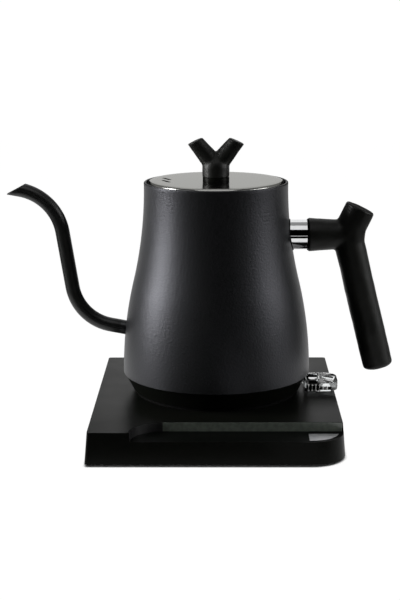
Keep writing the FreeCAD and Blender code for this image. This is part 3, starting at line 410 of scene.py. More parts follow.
def geometry_tree(name, sockets):
    """An empty geometry tree with named inputs, its input sockets, and a function that closes it."""
    tree = bpy.data.node_groups.new(name, "GeometryNodeTree")
    for label, kind in sockets.items():
        tree.interface.new_socket(label, in_out="INPUT", socket_type="NodeSocket" + kind)
    tree.interface.new_socket("Made", in_out="OUTPUT", socket_type="NodeSocketGeometry")
    given = add(tree, "NodeGroupInput").outputs

    def close(made):
        smooth = add(tree, "GeometryNodeSetShadeSmooth", {"Geometry": made})
        real = add(tree, "GeometryNodeRealizeInstances", {"Geometry": smooth.outputs["Geometry"]})
        finished = add(tree, "GeometryNodeSetMaterial", {
            "Geometry": real.outputs["Geometry"], "Material": given["Finish"],
        })
        add(tree, "NodeGroupOutput", {"Made": finished.outputs["Geometry"]})
        return tree

    return tree, given, close


def grown(name, start, tree, inputs):
    """The plain mesh that a geometry tree makes from a start mesh, with its named inputs set."""
    maker = maker_of(name, start)
    modifier = maker.modifiers.new(name, "NODES")
    modifier.node_group = tree
    for item in tree.interface.items_tree:
        if item.in_out == "INPUT" and item.name in inputs:
            modifier[item.identifier] = inputs[item.name]
    return baked(maker)


def row_of(name, places):
    """A start mesh of loose points, places in millimetres."""
    mesh = bpy.data.meshes.new(name)
    mesh.from_pydata([Vector(place) * MM for place in places], [], [])
    return mesh


def arc(centre, radius, start, end, count):
    """Points on an arc, angles in degrees."""
    angles = [math.radians(start + (end - start) * i / count) for i in range(count + 1)]
    return [(centre[0] + radius * math.cos(a), centre[1] + radius * math.sin(a)) for a in angles]


# Pot

# The inner wall stops so many degrees of arc below the neck, under the lid's seat. Steps round the pot.
INNER_TOP_ANGLE, POT_STEPS = 1.03, 160


def bell_wall(inset, top_angle, count=26):
    """Points up the pot's wall, from two arcs that meet without a corner, moved in by inset."""
    spread = POT_RADIUS - NECK_RADIUS
    arcs = (spread ** 2 + BELL_HEIGHT ** 2) / (2 * spread)
    low = arcs * FLEX_HEIGHT / BELL_HEIGHT
    high = arcs - low
    turn = math.degrees(math.asin(BELL_HEIGHT / arcs))
    neck = (NECK_RADIUS + high, POT_FOOT + BELL_HEIGHT)
    lower = arc((POT_RADIUS - low, POT_FOOT), low - inset, 0, turn, count)
    upper = arc(neck, high + inset, 180 + turn, 180 + top_angle, count)
    return lower + upper[1:]


def wall_radius(height):
    """The pot's outer radius at a height."""
    points = bell_wall(0, 0)
    for (low_radius, low), (high_radius, high) in zip(points, points[1:]):
        if low <= height <= high:
            return low_radius + (high_radius - low_radius) * (height - low) / (high - low)
    return NECK_RADIUS


def inside_pot(face):
    """1 for the bare steel inside the pot, else 0."""
    middle = face.calc_center_median()
    outwards = face.normal.dot(Vector((middle.x, middle.y, 0)))
    return int(outwards < 0 and middle.z < SEAT * MM)


rim_inner = NECK_RADIUS - RIM_WIDTH
pot_outline = bell_wall(0, 0)
pot_outline += arc((NECK_RADIUS - RIM_ROUND, RIM - RIM_ROUND), RIM_ROUND, 0, 90, 5)
pot_outline += arc((rim_inner + RIM_ROUND, RIM - RIM_ROUND), RIM_ROUND, 90, 180, 5)
pot_outline += [(rim_inner, SEAT), (MOUTH_RADIUS, SEAT), (MOUTH_RADIUS, SEAT - SEAT_THICKNESS)]
pot_outline += bell_wall(POT_WALL, INNER_TOP_ANGLE)[::-1]
pot = turned(pot_outline, POT_STEPS)
for face in pot.faces:
    face.material_index = inside_pot(face)
pot_mesh = smooth_mesh("pot_shell", pot, [powder_coat, inner_steel])
piece("pot_shell", pot_mesh, "kettle", "black_coat", "kettle_body")


# Spout

# Corners of the spout's centre line as X and Z with the bend radius at each.
SPOUT_LINE = [(-64.0, 69.06, 0.0), (-100.6, 75.9, 34.0), (-114.6, 166.0, 37.0), (-153.0, 173.1, 0.0)]
SPOUT_RADIUS, SPOUT_WALL = 4.35, 0.8
# The slanted cut at the spout's lip, and the round along its edges sharper than an angle.
LIP_X, LIP_Z, LIP_ANGLE, LIP_ROUND, LIP_LIMIT = -150.6, 167.6, math.radians(25.6), 0.25, math.radians(60)


def bent_tube():
    """Geometry tree: a tube along a path of points, each corner rounded by the radius that it carries."""
    tree, given, close = geometry_tree("bent_tube", {
        "Path": "Geometry", "Tube Radius": "Float", "Bend Steps": "Int", "Sides": "Int",
        "Finish": "Material",
    })
    line = add(tree, "GeometryNodeMeshToCurve", {"Mesh": given["Path"]})
    bend = add(tree, "GeometryNodeInputNamedAttribute", {"Name": "bend"}, data_type="FLOAT")
    rounded = add(tree, "GeometryNodeFilletCurve", {
        "Curve": line.outputs["Curve"], "Count": given["Bend Steps"], "Radius": bend.outputs["Attribute"],
    }, mode="POLY")
    section = add(tree, "GeometryNodeCurvePrimitiveCircle", {
        "Resolution": given["Sides"], "Radius": given["Tube Radius"],
    })
    tube = add(tree, "GeometryNodeCurveToMesh", {
        "Curve": rounded.outputs["Curve"], "Profile Curve": section.outputs["Curve"],
    })
    return close(tube.outputs["Mesh"])


spout_line = bpy.data.meshes.new("spout_line")
spout_corners = [(x * MM, 0, z * MM) for x, z, bend in SPOUT_LINE]
spout_line.from_pydata(spout_corners, [(i, i + 1) for i in range(len(spout_corners) - 1)], [])
bends = spout_line.attributes.new("bend", "FLOAT", "POINT")
for index, (x, z, bend) in enumerate(SPOUT_LINE):
    bends.data[index].value = bend * MM
spout = merged(grown("spout", spout_line, bent_tube(), {
    "Tube Radius": SPOUT_RADIUS * MM, "Bend Steps": 22, "Sides": 48, "Finish": tube_coat,
}))
bmesh.ops.bisect_plane(
    spout, geom=spout.verts[:] + spout.edges[:] + spout.faces[:], clear_outer=True,
    plane_co=(LIP_X * MM, 0, LIP_Z * MM), plane_no=(-math.sin(LIP_ANGLE), 0, math.cos(LIP_ANGLE)),
)
spout_maker = maker_of("spout", smooth_mesh("spout", spout, [tube_coat]))
wall = spout_maker.modifiers.new("wall", "SOLIDIFY")
wall.thickness, wall.offset = SPOUT_WALL * MM, -1
lip = spout_maker.modifiers.new("lip", "BEVEL")
lip.width, lip.segments, lip.angle_limit = LIP_ROUND * MM, 2, LIP_LIMIT
spout_mesh = smooth_mesh("spout", merged(baked(spout_maker)), [tube_coat], outward=False)
piece("spout", spout_mesh, "kettle", "black_coat", "spout_tube")


# Lid

VENT_REACH, VENT_SPACING, VENT_LENGTH, VENT_WIDTH, VENT_ANGLE = 35.3, 12.5, 12.0, 2.6, -62.0
# How far below the lid's top the vents' cutter starts and how tall it is, the width of the lid's edge band,
# and the steps round the lid.
CUTTER_DROP, CUTTER_HEIGHT, EDGE_BAND, LID_STEPS = 3.0, 5.0, 6.0, 180


def vent_cutter():
    """Two slanted slots with round ends, as prisms that pass through the lid."""
    shape = bmesh.new()
    half = (VENT_LENGTH - VENT_WIDTH) / 2
    outline = arc((half, 0), VENT_WIDTH / 2, -90, 90, 8) + arc((-half, 0), VENT_WIDTH / 2, 90, 270, 8)
    turn = Matrix.Rotation(math.radians(VENT_ANGLE), 3, "Z")
    for side in (-1, 1):
        centre = Vector((-VENT_REACH, side * VENT_SPACING / 2, LID_TOP - CUTTER_DROP))
        corners = [shape.verts.new((centre + turn @ Vector((x, y, 0))) * MM) for x, y in outline]
        face = shape.faces.new(corners)
        raised = bmesh.ops.extrude_face_region(shape, geom=[face])["geom"]
        top = [item for item in raised if isinstance(item, bmesh.types.BMVert)]
        bmesh.ops.translate(shape, verts=top, vec=(0, 0, CUTTER_HEIGHT * MM))
    return smooth_mesh("vent_cutter", shape, [])


lid_inner, lid_ceiling = LID_RADIUS - LID_THICKNESS, LID_TOP - LID_THICKNESS
lid_outline = [(LID_BORE, lid_ceiling), (lid_inner, lid_ceiling), (lid_inner, LID_FOOT)]
lid_outline += [(LID_RADIUS, LID_FOOT)]
lid_outline += arc((LID_RADIUS - LID_ROUND, LID_TOP - LID_ROUND), LID_ROUND, 0, 90, 6)
lid_outline += [(LID_RADIUS - EDGE_BAND, LID_TOP), (LID_BORE, LID_TOP)]
lid_blank = smooth_mesh("lid_disc", turned(lid_outline, LID_STEPS), [lid_steel])
lid_cut = merged(cut_out("lid_disc", lid_blank, vent_cutter()))
lid_mesh = smooth_mesh("lid_disc", lid_cut, [lid_steel], outward=False)
piece("lid_disc", lid_mesh, "lid", "lid_steel", "lid_plate")


# Branch-shaped handle and knob

# Where limbs meet: the handle's elbow and armpit along X, the armpit's drop, and the knob's fork up Z.
ELBOW, ARMPIT, ARMPIT_DROP, KNOB_FORK = 94.2, 107.0, 2.0, LID_TOP + 15.6
# Hollows to fill: a centre, a reach in millimetres and how often they are smoothed.
HANDLE_HOLLOWS = [((ELBOW, 0, HANDLE_AXIS), 24, 30), ((ARMPIT, 0, HANDLE_AXIS - ARMPIT_DROP), 18, 60)]
KNOB_HOLLOWS = [((0, 0, KNOB_FORK), 17, 40)]
# Low lumps as height and width, how far the whole skin is raised and how fine it is, in millimetres, and
# how often it is smoothed at the end.
LUMPS, SKIN_RAISE, SKIN_VOXEL, SKIN_ROUNDS = ((0.3, 15), (0.1, 5)), 0.1, 0.6, 2


def branch_limbs(name, node, hollows):
    """One skin over a node's limbs: the hollows between them filled softly, with low lumps all over."""
    bare = merged(nodes[node].data)
    mesh = bpy.data.meshes.new(name)
    bare.to_mesh(mesh)
    bare.free()
    maker = maker_of(name, mesh)
    skin = maker.modifiers.new("skin", "REMESH")
    skin.mode, skin.voxel_size = "VOXEL", SKIN_VOXEL * MM
    shape = merged(baked(maker))
    every_way = {"factor": 0.5, "use_axis_x": True, "use_axis_y": True, "use_axis_z": True}
    for centre, reach, passes in hollows:
        near = [v for v in shape.verts if (v.co - Vector(centre) * MM).length < reach * MM]
        for step in range(passes):
            shape.normal_update()
            before = [v.co.copy() for v in near]
            bmesh.ops.smooth_vert(shape, verts=near, **every_way)
            for vertex, old in zip(near, before):
                if (vertex.co - old).dot(vertex.normal) < 0:
                    vertex.co = old
    for step in range(SKIN_ROUNDS):
        bmesh.ops.smooth_vert(shape, verts=shape.verts, **every_way)
    shape.normal_update()
    for vertex in shape.verts:
        lump = sum(height * noise.noise(vertex.co / (width * MM)) for height, width in LUMPS)
        vertex.co += vertex.normal * (lump + SKIN_RAISE) * MM
    return smooth_mesh(name, shape, [branch], limit=180, outward=False)


handle_mesh = branch_limbs("branch_handle", "handle_grip", HANDLE_HOLLOWS)
piece("branch_handle", handle_mesh, "kettle", "branch_plastic", "handle_grip")
knob_mesh = branch_limbs("branch_knob", "lid_knob", KNOB_HOLLOWS)
piece("branch_knob", knob_mesh, "lid", "branch_plastic", "lid_knob")


# Collar between the pot and the handle

COLLAR_BORE, COPE_SUNK, COPE_CHAMFER = 4.1, 0.3, 0.3
GASKET_OVERLAP, GASKET_PROUD, GASKET_WIDTH = 0.2, 0.5, 0.6


def coped_ring(name, inner, outer, end_at, finish, sides=120):
    """A tube along the handle's axis, coped into the pot's round wall, with a chamfer at its free end.

    end_at gives the free end's X for the wall's X.
    """
    section = [
        (outer, lambda wall_x: wall_x - COPE_SUNK),
        (outer, lambda wall_x: end_at(wall_x) - COPE_CHAMFER),
        (outer - COPE_CHAMFER, end_at),
        (inner, end_at),
        (inner, lambda wall_x: wall_x - COPE_SUNK),
    ]
    shape = bmesh.new()
    rings = []
    for radius, place in section:
        ring = []
        for i in range(sides):
            y = radius * math.cos(math.tau * i / sides)
            z = HANDLE_AXIS + radius * math.sin(math.tau * i / sides)
            wall_x = math.sqrt(wall_radius(z) ** 2 - y ** 2)
            ring.append(shape.verts.new((place(wall_x) * MM, y * MM, z * MM)))
        rings.append(ring)
    for first, second in zip(rings, rings[1:] + rings[:1]):
        for i in range(sides):
            j = (i + 1) % sides
            shape.faces.new((first[i], first[j], second[j], second[i]))
    return smooth_mesh(name, shape, [finish])


sleeve_mesh = coped_ring("collar_sleeve", COLLAR_BORE, COLLAR_RADIUS, lambda wall_x: COLLAR_END, chrome)
piece("collar_sleeve", sleeve_mesh, "kettle", "bright_steel", "handle_collar")
gasket_mesh = coped_ring(
    "collar_root_gasket", COLLAR_RADIUS - GASKET_OVERLAP, COLLAR_RADIUS + GASKET_PROUD,
    lambda wall_x: wall_x + GASKET_WIDTH, rubber,
)
piece("collar_root_gasket", gasket_mesh, "kettle", "black_rubber")


# Power base: the housing and the ledge's lining with eased edges

CASE_EASE, LINING_EASE, PLINTH_MARGIN = 0.5, 0.15, 0.2
# Shares of a face's normal: upright past the first, and facing the front or the back past the second.
UPRIGHT_SHARE, FACING_SHARE = 0.5, 0.995


def eased(name, node, width, finishes, choose, chosen_sharp=False):
    """A copy of a node with small rounds along its outer edges, and the finish that choose gives a face."""
    shape = whole_faces(node)
    weight = shape.edges.layers.float.new("bevel_weight_edge")
    for edge in shape.edges:
        left_sharp = chosen_sharp and any(choose(face) for face in edge.link_faces)
        if edge.is_convex and edge.calc_face_angle(0) > math.radians(ROUND_LIMIT) and not left_sharp:
            edge[weight] = 1.0
    for face in shape.faces:
        face.material_index = choose(face)
    maker = maker_of(name, smooth_mesh(name, shape, finishes, outward=False))
    round_edge = maker.modifiers.new("eased", "BEVEL")
    round_edge.width, round_edge.segments, round_edge.limit_method = width * MM, 3, "WEIGHT"
    round_edge.harden_normals = True
    return baked(maker)


def on_plinth(face):
    """1 for the plinth that the kettle stands on, else 0."""
    middle = face.calc_center_median() / MM
    raised = middle.z > BASE_TOP + PLINTH_MARGIN
    return int(raised and middle.xy.length < PLINTH_RADIUS + PLINTH_MARGIN)


def on_window(face):
    """1 for the ledge's straight back wall, 2 for its round end, else 0."""
    if abs(face.normal.z) > UPRIGHT_SHARE:
        return 0
    return 1 if abs(face.normal.y) > FACING_SHARE else 2


case_mesh = eased("base_case", "base_housing", CASE_EASE, [matt_abs, rubber], on_plinth, chosen_sharp=True)
piece("base_case", case_mesh, "base", "black_plastic", "base_housing")
# The ledge's straight back wall takes the painted backlight, its round end the dark satin bend.
lining_finishes = [satin_acrylic, backlit_wall_paint, satin_bend]
lining_mesh = eased("ledge_lining", "ledge_panel", LINING_EASE, lining_finishes, on_window)
piece("ledge_lining", lining_mesh, "base", "gloss_black", "ledge_panel")


# Switch lever: a clear tab with a pocket over a black sight plate, bright bars in it, ribs down its front

LEVER_CORNER = [edge_of("switch_lever", LOW, axis) for axis in "xyz"]


def on_lever(*offset):
    """A place in millimetres, given by its offset from the low corner of the lever's box."""
    return [round(start + along, 2) for start, along in zip(LEVER_CORNER, offset)]


SIGHT_POCKET = (on_lever(12.0, -1.0, 2.8), on_lever(21.0, 28.4, 8.0))
DIMPLE, DIMPLE_RADIUS, LEVER_EASE = on_lever(26.9, 15.5, 14.0), 9.4, 0.5
SIGHT_PLATES = [
    (on_lever(12.1, 0.2, 2.8), on_lever(20.9, 28.3, 3.4)),
    (on_lever(10.9, -0.4, 0.6), on_lever(21.3, 0.3, 5.2)),
    (on_lever(21.1, -0.3, 1.2), on_lever(29.3, 0.3, 3.6)),
]
SIGHT_BARS = [
    (on_lever(13.3, 11.6, 3.3), on_lever(20.1, 16.6, 6.1)),
    (on_lever(12.3, 27.2, 3.3), on_lever(20.5, 28.3, 6.0)),
]
PLATE_ROUND, BAR_ROUND = 0.15, 0.3
# Places along the tab, level, height and bead radius of the long ribs and of the two stops beside them.
RIBS = {
    "lever_ribs": ((12.4, 15.1, 17.7, 20.5), 2.9, 3.9, 0.72),
    "lever_stops": ((23.0, 25.6), 2.7, 0.9, 0.95),
}
RIB_PROUD, RIB_RADIUS = 0.6, 0.3


def lever_space():
    """What the clear tab leaves out: the sight pocket and a shallow finger dimple."""
    shape = merged(blocks("sight_pocket", [SIGHT_POCKET], []))
    made = bmesh.ops.create_uvsphere(shape, u_segments=48, v_segments=32, radius=DIMPLE_RADIUS * MM)
    bmesh.ops.translate(shape, vec=Vector(DIMPLE) * MM, verts=made["verts"])
    return smooth_mesh("lever_space", shape, [])


def rib_row():
    """Geometry tree: an upright rib with a round bead at each end, on each point of a row."""
    tree, given, close = geometry_tree("rib_row", {
        "Row": "Geometry", "Rib Height": "Float", "Rib Radius": "Float", "Bead Radius": "Float",
        "Finish": "Material",
    })
    stem = add(tree, "GeometryNodeMeshCylinder", {
        "Vertices": 16, "Radius": given["Rib Radius"], "Depth": given["Rib Height"],
    })
    half = add(tree, "ShaderNodeMath", {0: given["Rib Height"], 1: -0.5}, operation="MULTIPLY")
    foot = add(tree, "ShaderNodeCombineXYZ", {"Z": half.outputs[0]})
    rise = add(tree, "ShaderNodeCombineXYZ", {"Z": given["Rib Height"]})
    ends = add(tree, "GeometryNodeMeshLine", {
        "Count": 2, "Start Location": foot.outputs[0], "Offset": rise.outputs[0],
    })
    bead = add(tree, "GeometryNodeMeshIcoSphere", {"Radius": given["Bead Radius"], "Subdivisions": 3})
    beads = add(tree, "GeometryNodeInstanceOnPoints", {
        "Points": ends.outputs["Mesh"], "Instance": bead.outputs["Mesh"],
    })
    rib = add(tree, "GeometryNodeJoinGeometry", {"Geometry": stem.outputs["Mesh"]})
    tree.links.new(beads.outputs["Instances"], rib.inputs["Geometry"])
    row = add(tree, "GeometryNodeInstanceOnPoints", {
        "Points": given["Row"], "Instance": rib.outputs["Geometry"],
    })
    return close(row.outputs["Instances"])


lever_blank = smooth_mesh("lever_tab", whole_faces("switch_lever"), [clear_plastic], outward=False)
lever_maker = maker_of("lever_tab", cut_out("lever_tab", lever_blank, lever_space()))
lever_round = lever_maker.modifiers.new("eased", "BEVEL")
lever_round.width, lever_round.segments = LEVER_EASE * MM, 2
lever_round.angle_limit = math.radians(ROUND_LIMIT)
lever_mesh = smooth_mesh("lever_tab", merged(baked(lever_maker)), [clear_plastic], outward=False)
piece("lever_tab", lever_mesh, "switch", "clear_plastic", "switch_lever")
plate_mesh = blocks("lever_sight_plate", SIGHT_PLATES, [matt_abs], PLATE_ROUND)
piece("lever_sight_plate", plate_mesh, "switch", "black_plastic")
bar_mesh = blocks("lever_sight_bar", SIGHT_BARS, [chrome], BAR_ROUND)
piece("lever_sight_bar", bar_mesh, "switch", "bright_steel")
rib_tree = rib_row()
for name, (along, level_z, height, bead) in RIBS.items():
    places = row_of(name, [on_lever(x, -RIB_PROUD, level_z) for x in along])
    rib_mesh = grown(name, places, rib_tree, {
        "Rib Height": height * MM, "Rib Radius": RIB_RADIUS * MM, "Bead Radius": bead * MM,
        "Finish": white_abs,
    })
    piece(name, rib_mesh, "switch", "white_plastic")


# Screws under the base and the kettle

SCREW_RADIUS, SCREW_HEAD_RADIUS = 1.25, 2.8
# Shares of the head's radius: its crown, and the length and width of the cross recess.
CROWN_SHARE, RECESS_LENGTH, RECESS_WIDTH = 0.8, 1.15, 0.28


def pan_screws():
    """Geometry tree: a screw with a cross recess, head down, with its head's seat on each point."""
    tree, given, close = geometry_tree("pan_screws", {
        "Seats": "Geometry", "Head Radius": "Float", "Head Height": "Float", "Shank Radius": "Float",
        "Shank Length": "Float", "Finish": "Material",
    })
    crown, long, wide = [
        add(tree, "ShaderNodeMath", {0: given["Head Radius"], 1: share}, operation="MULTIPLY")
        for share in (CROWN_SHARE, RECESS_LENGTH, RECESS_WIDTH)
    ]
    head = add(tree, "GeometryNodeMeshCone", {
        "Vertices": 32, "Radius Top": given["Head Radius"], "Radius Bottom": crown.outputs[0],
        "Depth": given["Head Height"],
    })
    bars = []
    for along, across in ((long, wide), (wide, long)):
        extent = add(tree, "ShaderNodeCombineXYZ", {
            "X": along.outputs[0], "Y": across.outputs[0], "Z": given["Head Height"],
        })
        bars.append(add(tree, "GeometryNodeMeshCube", {"Size": extent.outputs[0]}))
    recessed = add(tree, "GeometryNodeMeshBoolean", {
        "Mesh 1": head.outputs["Mesh"], "Mesh 2": bars[0].outputs["Mesh"],
    }, operation="DIFFERENCE")
    tree.links.new(bars[1].outputs["Mesh"], recessed.inputs["Mesh 2"])
    down = add(tree, "ShaderNodeMath", {0: given["Head Height"], 1: -1.0}, operation="MULTIPLY")
    drop = add(tree, "ShaderNodeCombineXYZ", {"Z": down.outputs[0]})
    seated = add(tree, "GeometryNodeTransform", {
        "Geometry": recessed.outputs["Mesh"], "Translation": drop.outputs[0],
    })
    shank = add(tree, "GeometryNodeMeshCylinder", {
        "Vertices": 20, "Radius": given["Shank Radius"], "Depth": given["Shank Length"],
    })
    middle = add(tree, "ShaderNodeMath", {0: given["Shank Length"], 1: 0.5}, operation="MULTIPLY")
    lift = add(tree, "ShaderNodeCombineXYZ", {"Z": middle.outputs[0]})
    standing = add(tree, "GeometryNodeTransform", {
        "Geometry": shank.outputs["Mesh"], "Translation": lift.outputs[0],
    })
    screw = add(tree, "GeometryNodeJoinGeometry", {"Geometry": seated.outputs["Geometry"]})
    tree.links.new(standing.outputs["Geometry"], screw.inputs["Geometry"])
    placed = add(tree, "GeometryNodeInstanceOnPoints", {
        "Points": given["Seats"], "Instance": screw.outputs["Geometry"],
    })
    return close(placed.outputs["Instances"])


def around(radius, angles, height):
    """Places on a circle about the kettle's axis, angles in degrees."""
    turns = [math.radians(angle) for angle in angles]
    return [(radius * math.cos(turn), radius * math.sin(turn), height) for turn in turns]


# Seats, head height and shank length of each set, with the body that it moves with.
SCREW_SETS = {
    "cover_screws": ([(x, y, 3.2) for x in (-76, 76) for y in (-71, 78)], 1.6, 9.4, "base"),
    "socket_screws": (around(27.5, (90, 210, 330), 18.2), 1.6, 5.4, "base"),
    "skirt_screws": (around(54.0, (60, 180, 300), 27.65), 1.55, 10.0, "kettle"),
}
screw_tree = pan_screws()
for name, (seats, head, shank, body) in SCREW_SETS.items():
    screws = merged(grown(name, row_of(name, seats), screw_tree, {
        "Head Radius": SCREW_HEAD_RADIUS * MM, "Head Height": head * MM, "Shank Radius": SCREW_RADIUS * MM,
        "Shank Length": shank * MM, "Finish": zinc_steel,
    }))
    screw_mesh = smooth_mesh(name, screws, [zinc_steel], outward=False)
    piece("recessed_" + name, screw_mesh, body, "fixing_steel", name)


# Camera, at the photograph's viewing angle

FOCAL_MM, SENSOR_MM, CAMERA_PLACE, SIGHT_END = 84.79, 36.0, (0.00393, -1.0025, 0.31221), 50.0
PITCH, YAW, ROLL = (math.radians(angle) for angle in (12.512, 0.899, -0.271))
ahead = Vector((-math.sin(YAW) * math.cos(PITCH), math.cos(YAW) * math.cos(PITCH), -math.sin(PITCH)))
level = Vector((math.cos(YAW), math.sin(YAW), 0))
above = level.cross(ahead)
right = level * math.cos(ROLL) + above * math.sin(ROLL)
up = above * math.cos(ROLL) - level * math.sin(ROLL)
camera = bpy.data.objects.new("camera", bpy.data.cameras.new("camera"))
camera.data.lens = FOCAL_MM
camera.data.sensor_width = SENSOR_MM
camera.data.clip_end = SIGHT_END
camera_turn = Matrix((right, up, -ahead)).transposed().to_4x4()
camera.matrix_world = Matrix.Translation(CAMERA_PLACE) @ camera_turn
scene.collection.objects.link(camera)
scene.camera = camera


# Studio: white floor, backdrop and surroundings, soft lamps, and cards that the camera doesn't see

WHITE = (1, 1, 1, 1)
# Metres: half the floor's width, its front and back edges, and where the backdrop stands, starts and stops.
FLOOR_HALF, FLOOR_FRONT, FLOOR_BACK = 6, -4, 1.95
BACKDROP_Y, BACKDROP_FOOT, BACKDROP_TOP = 2, -0.2, 4
# How far a contact shadow reaches, how open a place on the paper is where the shadow is full and where it
# ends, and how bright the paper is seen beyond it.
CONTACT_REACH, CONTACT_DARK, CONTACT_LIGHT, PAPER_GLOW = 3 * MM, 0.45, 0.85, 1.02
# How far floor and backdrop are seen as that paper, how bright a grey card is seen, and the world's light.
FLOOR_SHARE, BACKDROP_SHARE, GREY_CARD_GLOW, WORLD_STRENGTH = 0.98, 1.0, 0.3, 0.05


def level_corners(left, front, right, back, height):
    """Corners of a level sheet."""
    return [(left, front, height), (right, front, height), (right, back, height), (left, back, height)]


def wall_corners(start, end, foot, top):
    """Corners of an upright sheet over a line on the floor."""
    return [(*start, foot), (*end, foot), (*end, top), (*start, top)]


def stage_plane(name, corners, finish):
    """A flat sheet of the studio."""
    mesh = bpy.data.meshes.new(name)
    mesh.from_pydata(corners, [], [(0, 1, 2, 3)])
    mesh.materials.append(finish)
    made = bpy.data.objects.new(name, mesh)
    scene.collection.objects.link(made)
    return made


def seen_share(tree, share):
    """A factor that is share for what sees a surface directly, mirrored or through glass, and else 0."""
    rays = add(tree, "ShaderNodeLightPath")
    seen = add(tree, "ShaderNodeMath", {
        0: rays.outputs["Is Camera Ray"], 1: rays.outputs["Is Glossy Ray"],
    }, operation="ADD")
    seen = add(tree, "ShaderNodeMath", {
        0: seen.outputs[0], 1: rays.outputs["Is Transmission Ray"],
    }, operation="ADD", use_clamp=True)
    return add(tree, "ShaderNodeMath", {0: seen.outputs[0], 1: share}, operation="MULTIPLY").outputs[0]


def bare_material(name):
    """A material without a shader, and its tree."""
    made = bpy.data.materials.new(name)
    made.use_nodes = True
    made.node_tree.nodes.clear()
    return made, made.node_tree


def studio_white(name, glow):
    """Plain white that takes shadows, and is seen nearly as white paper."""
    made, tree = bare_material(name)
    surface = add(tree, "ShaderNodeBsdfDiffuse", {"Color": colour("#f2f2f2")})
    # What stands within a few millimetres of the paper darkens it, as a contact shadow.
    shade = add(tree, "ShaderNodeAmbientOcclusion", {"Color": WHITE, "Distance": CONTACT_REACH}, samples=8)
    contact = add(tree, "ShaderNodeMapRange", {
        "Value": shade.outputs["AO"], "From Min": CONTACT_DARK, "From Max": CONTACT_LIGHT,
        "To Max": PAPER_GLOW,
    })
    light = add(tree, "ShaderNodeEmission", {"Color": WHITE, "Strength": contact.outputs["Result"]})
    mix = add(tree, "ShaderNodeMixShader", {
        0: seen_share(tree, glow), 1: surface.outputs[0], 2: light.outputs[0],
    })
    add(tree, "ShaderNodeOutputMaterial", {"Surface": mix.outputs[0]})
    return made


def dim_card(name, glow):
    """A card that is seen as an even grey and lights nothing."""
    made, tree = bare_material(name)
    light = add(tree, "ShaderNodeEmission", {"Color": WHITE, "Strength": seen_share(tree, glow)})
    add(tree, "ShaderNodeOutputMaterial", {"Surface": light.outputs[0]})
    return made


floor_corners = level_corners(-FLOOR_HALF, FLOOR_FRONT, FLOOR_HALF, FLOOR_BACK, 0)
stage_plane("floor", floor_corners, studio_white("studio_floor", FLOOR_SHARE))
backdrop_line = (-FLOOR_HALF, BACKDROP_Y), (FLOOR_HALF, BACKDROP_Y)
backdrop_corners = wall_corners(*backdrop_line, BACKDROP_FOOT, BACKDROP_TOP)
stage_plane("backdrop", backdrop_corners, studio_white("studio_backdrop", BACKDROP_SHARE))


def card(name, corners, finish):
    """A card that the camera doesn't see, that shows in reflections and lets the lamps' light through."""
    made = stage_plane(name, corners, finish)
    made.visible_camera = False
    made.visible_shadow = False


black_card = material("black_card", Base_Color=colour("#050505"), Roughness=1.0, Specular_IOR_Level=0.0)[0]
grey_card = dim_card("grey_card", GREY_CARD_GLOW)
# Metres: how far the cards stand to the sides and the front, to the back, and where walls split and stop.
CARD_SIDE, CARD_BACK, CARD_SPLIT, CARD_TOP = 2.0, 1.2, 0.65, 2.4
# The front wall starts above a slit, and the back walls leave a gap between them.
FRONT_SLIT, GAP_SIDE, GAP_BACK = 0.09, 0.32, 1.9
# Walls from one corner to the next, with their foot and their upper finish. They are black below, and grey
# above where that lightens the lid.
CARD_WALLS = {
    "front": ((-CARD_SIDE, -CARD_SIDE), (CARD_SIDE, -CARD_SIDE), FRONT_SLIT, black_card),
    "left": ((-CARD_SIDE, -CARD_SIDE), (-CARD_SIDE, CARD_BACK), 0.0, grey_card),
    "right": ((CARD_SIDE, -CARD_SIDE), (CARD_SIDE, CARD_BACK), 0.0, grey_card),
    "back_left": ((-CARD_SIDE, CARD_BACK), (-GAP_SIDE, GAP_BACK), 0.0, grey_card),
    "back_right": ((CARD_SIDE, CARD_BACK), (GAP_SIDE, GAP_BACK), 0.0, grey_card),
}
for name, (start, end, foot, upper) in CARD_WALLS.items():
    card("card_%s_low" % name, wall_corners(start, end, foot, CARD_SPLIT), black_card)
    card("card_%s_high" % name, wall_corners(start, end, CARD_SPLIT, CARD_TOP), upper)
card("card_top", level_corners(-CARD_SIDE, -CARD_SIDE, CARD_SIDE, CARD_BACK, CARD_TOP), black_card)
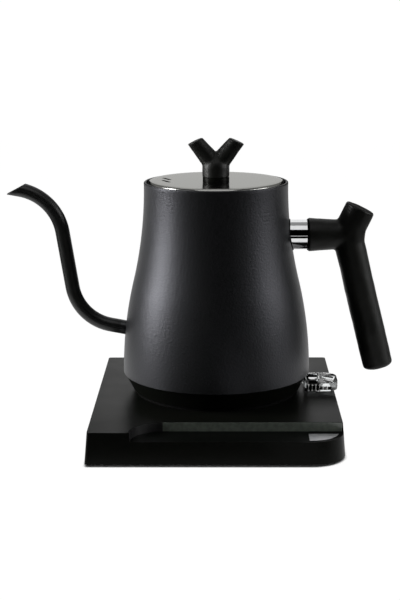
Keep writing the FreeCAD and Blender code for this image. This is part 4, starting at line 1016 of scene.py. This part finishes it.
# Cards just over the floor, up to an edge before the base, as left, front, right and back edges. The white
# strip that they leave in front of the handle gives the collar its bright band.
CARD_LIFT, NEAR_EDGE, STRIP_LEFT, STRIP_RIGHT, STRIP_EDGE = 0.001, -0.135, 0.045, 0.105, -0.36
FLANK_EDGE, FLANK_BACK = 0.3, 0.5
FLOOR_CARDS = {
    "card_floor_front_left": (-CARD_SIDE, -CARD_SIDE, STRIP_LEFT, NEAR_EDGE),
    "card_floor_front": (STRIP_LEFT, -CARD_SIDE, STRIP_RIGHT, STRIP_EDGE),
    "card_floor_front_right": (STRIP_RIGHT, -CARD_SIDE, CARD_SIDE, NEAR_EDGE),
    "card_floor_left": (-CARD_SIDE, NEAR_EDGE, -FLANK_EDGE, FLANK_BACK),
    "card_floor_right": (FLANK_EDGE, NEAR_EDGE, CARD_SIDE, FLANK_BACK),
}
for name, edges in FLOOR_CARDS.items():
    card(name, level_corners(*edges, CARD_LIFT), black_card)

world = bpy.data.worlds.new("studio")
world.use_nodes = True
sky = world.node_tree
dim = sky.nodes["Background"]
dim.inputs["Color"].default_value = WHITE
dim.inputs["Strength"].default_value = WORLD_STRENGTH
white = add(sky, "ShaderNodeBackground", {"Color": WHITE, "Strength": 1.0})
both = add(sky, "ShaderNodeMixShader", {0: seen_share(sky, 1.0), 1: dim.outputs[0], 2: white.outputs[0]})
sky.links.new(both.outputs[0], sky.nodes["World Output"].inputs["Surface"])
scene.world = world


def softbox(name, place, target, size, power):
    """A rectangular lamp that faces a target."""
    lamp = bpy.data.lights.new(name, "AREA")
    lamp.shape = "RECTANGLE"
    lamp.size, lamp.size_y = size
    lamp.energy = power
    made = bpy.data.objects.new(name, lamp)
    way = Vector(target) - Vector(place)
    made.matrix_world = Matrix.Translation(place) @ way.to_track_quat("-Z", "Y").to_matrix().to_4x4()
    scene.collection.objects.link(made)


# Place, target, width and height in metres, and power in watts.
LAMPS = {
    "left_box": ((-1.32, -0.1, 0.5), (0, 0, 0.1), (0.5, 0.8), 27),
    "right_box": ((1.3, -0.2, 0.5), (0, 0, 0.1), (0.8, 0.8), 8.5),
    "over_box": ((0.0, -0.68, 1.52), (0, 0, 0.14), (1.4, 1.0), 4.2),
    "top_box": ((0.0, 0.35, 1.7), (0, 0, 0.1), (1.6, 1.0), 1.6),
}
for name, (place, target, extent, power) in LAMPS.items():
    softbox(name, place, target, extent, power)
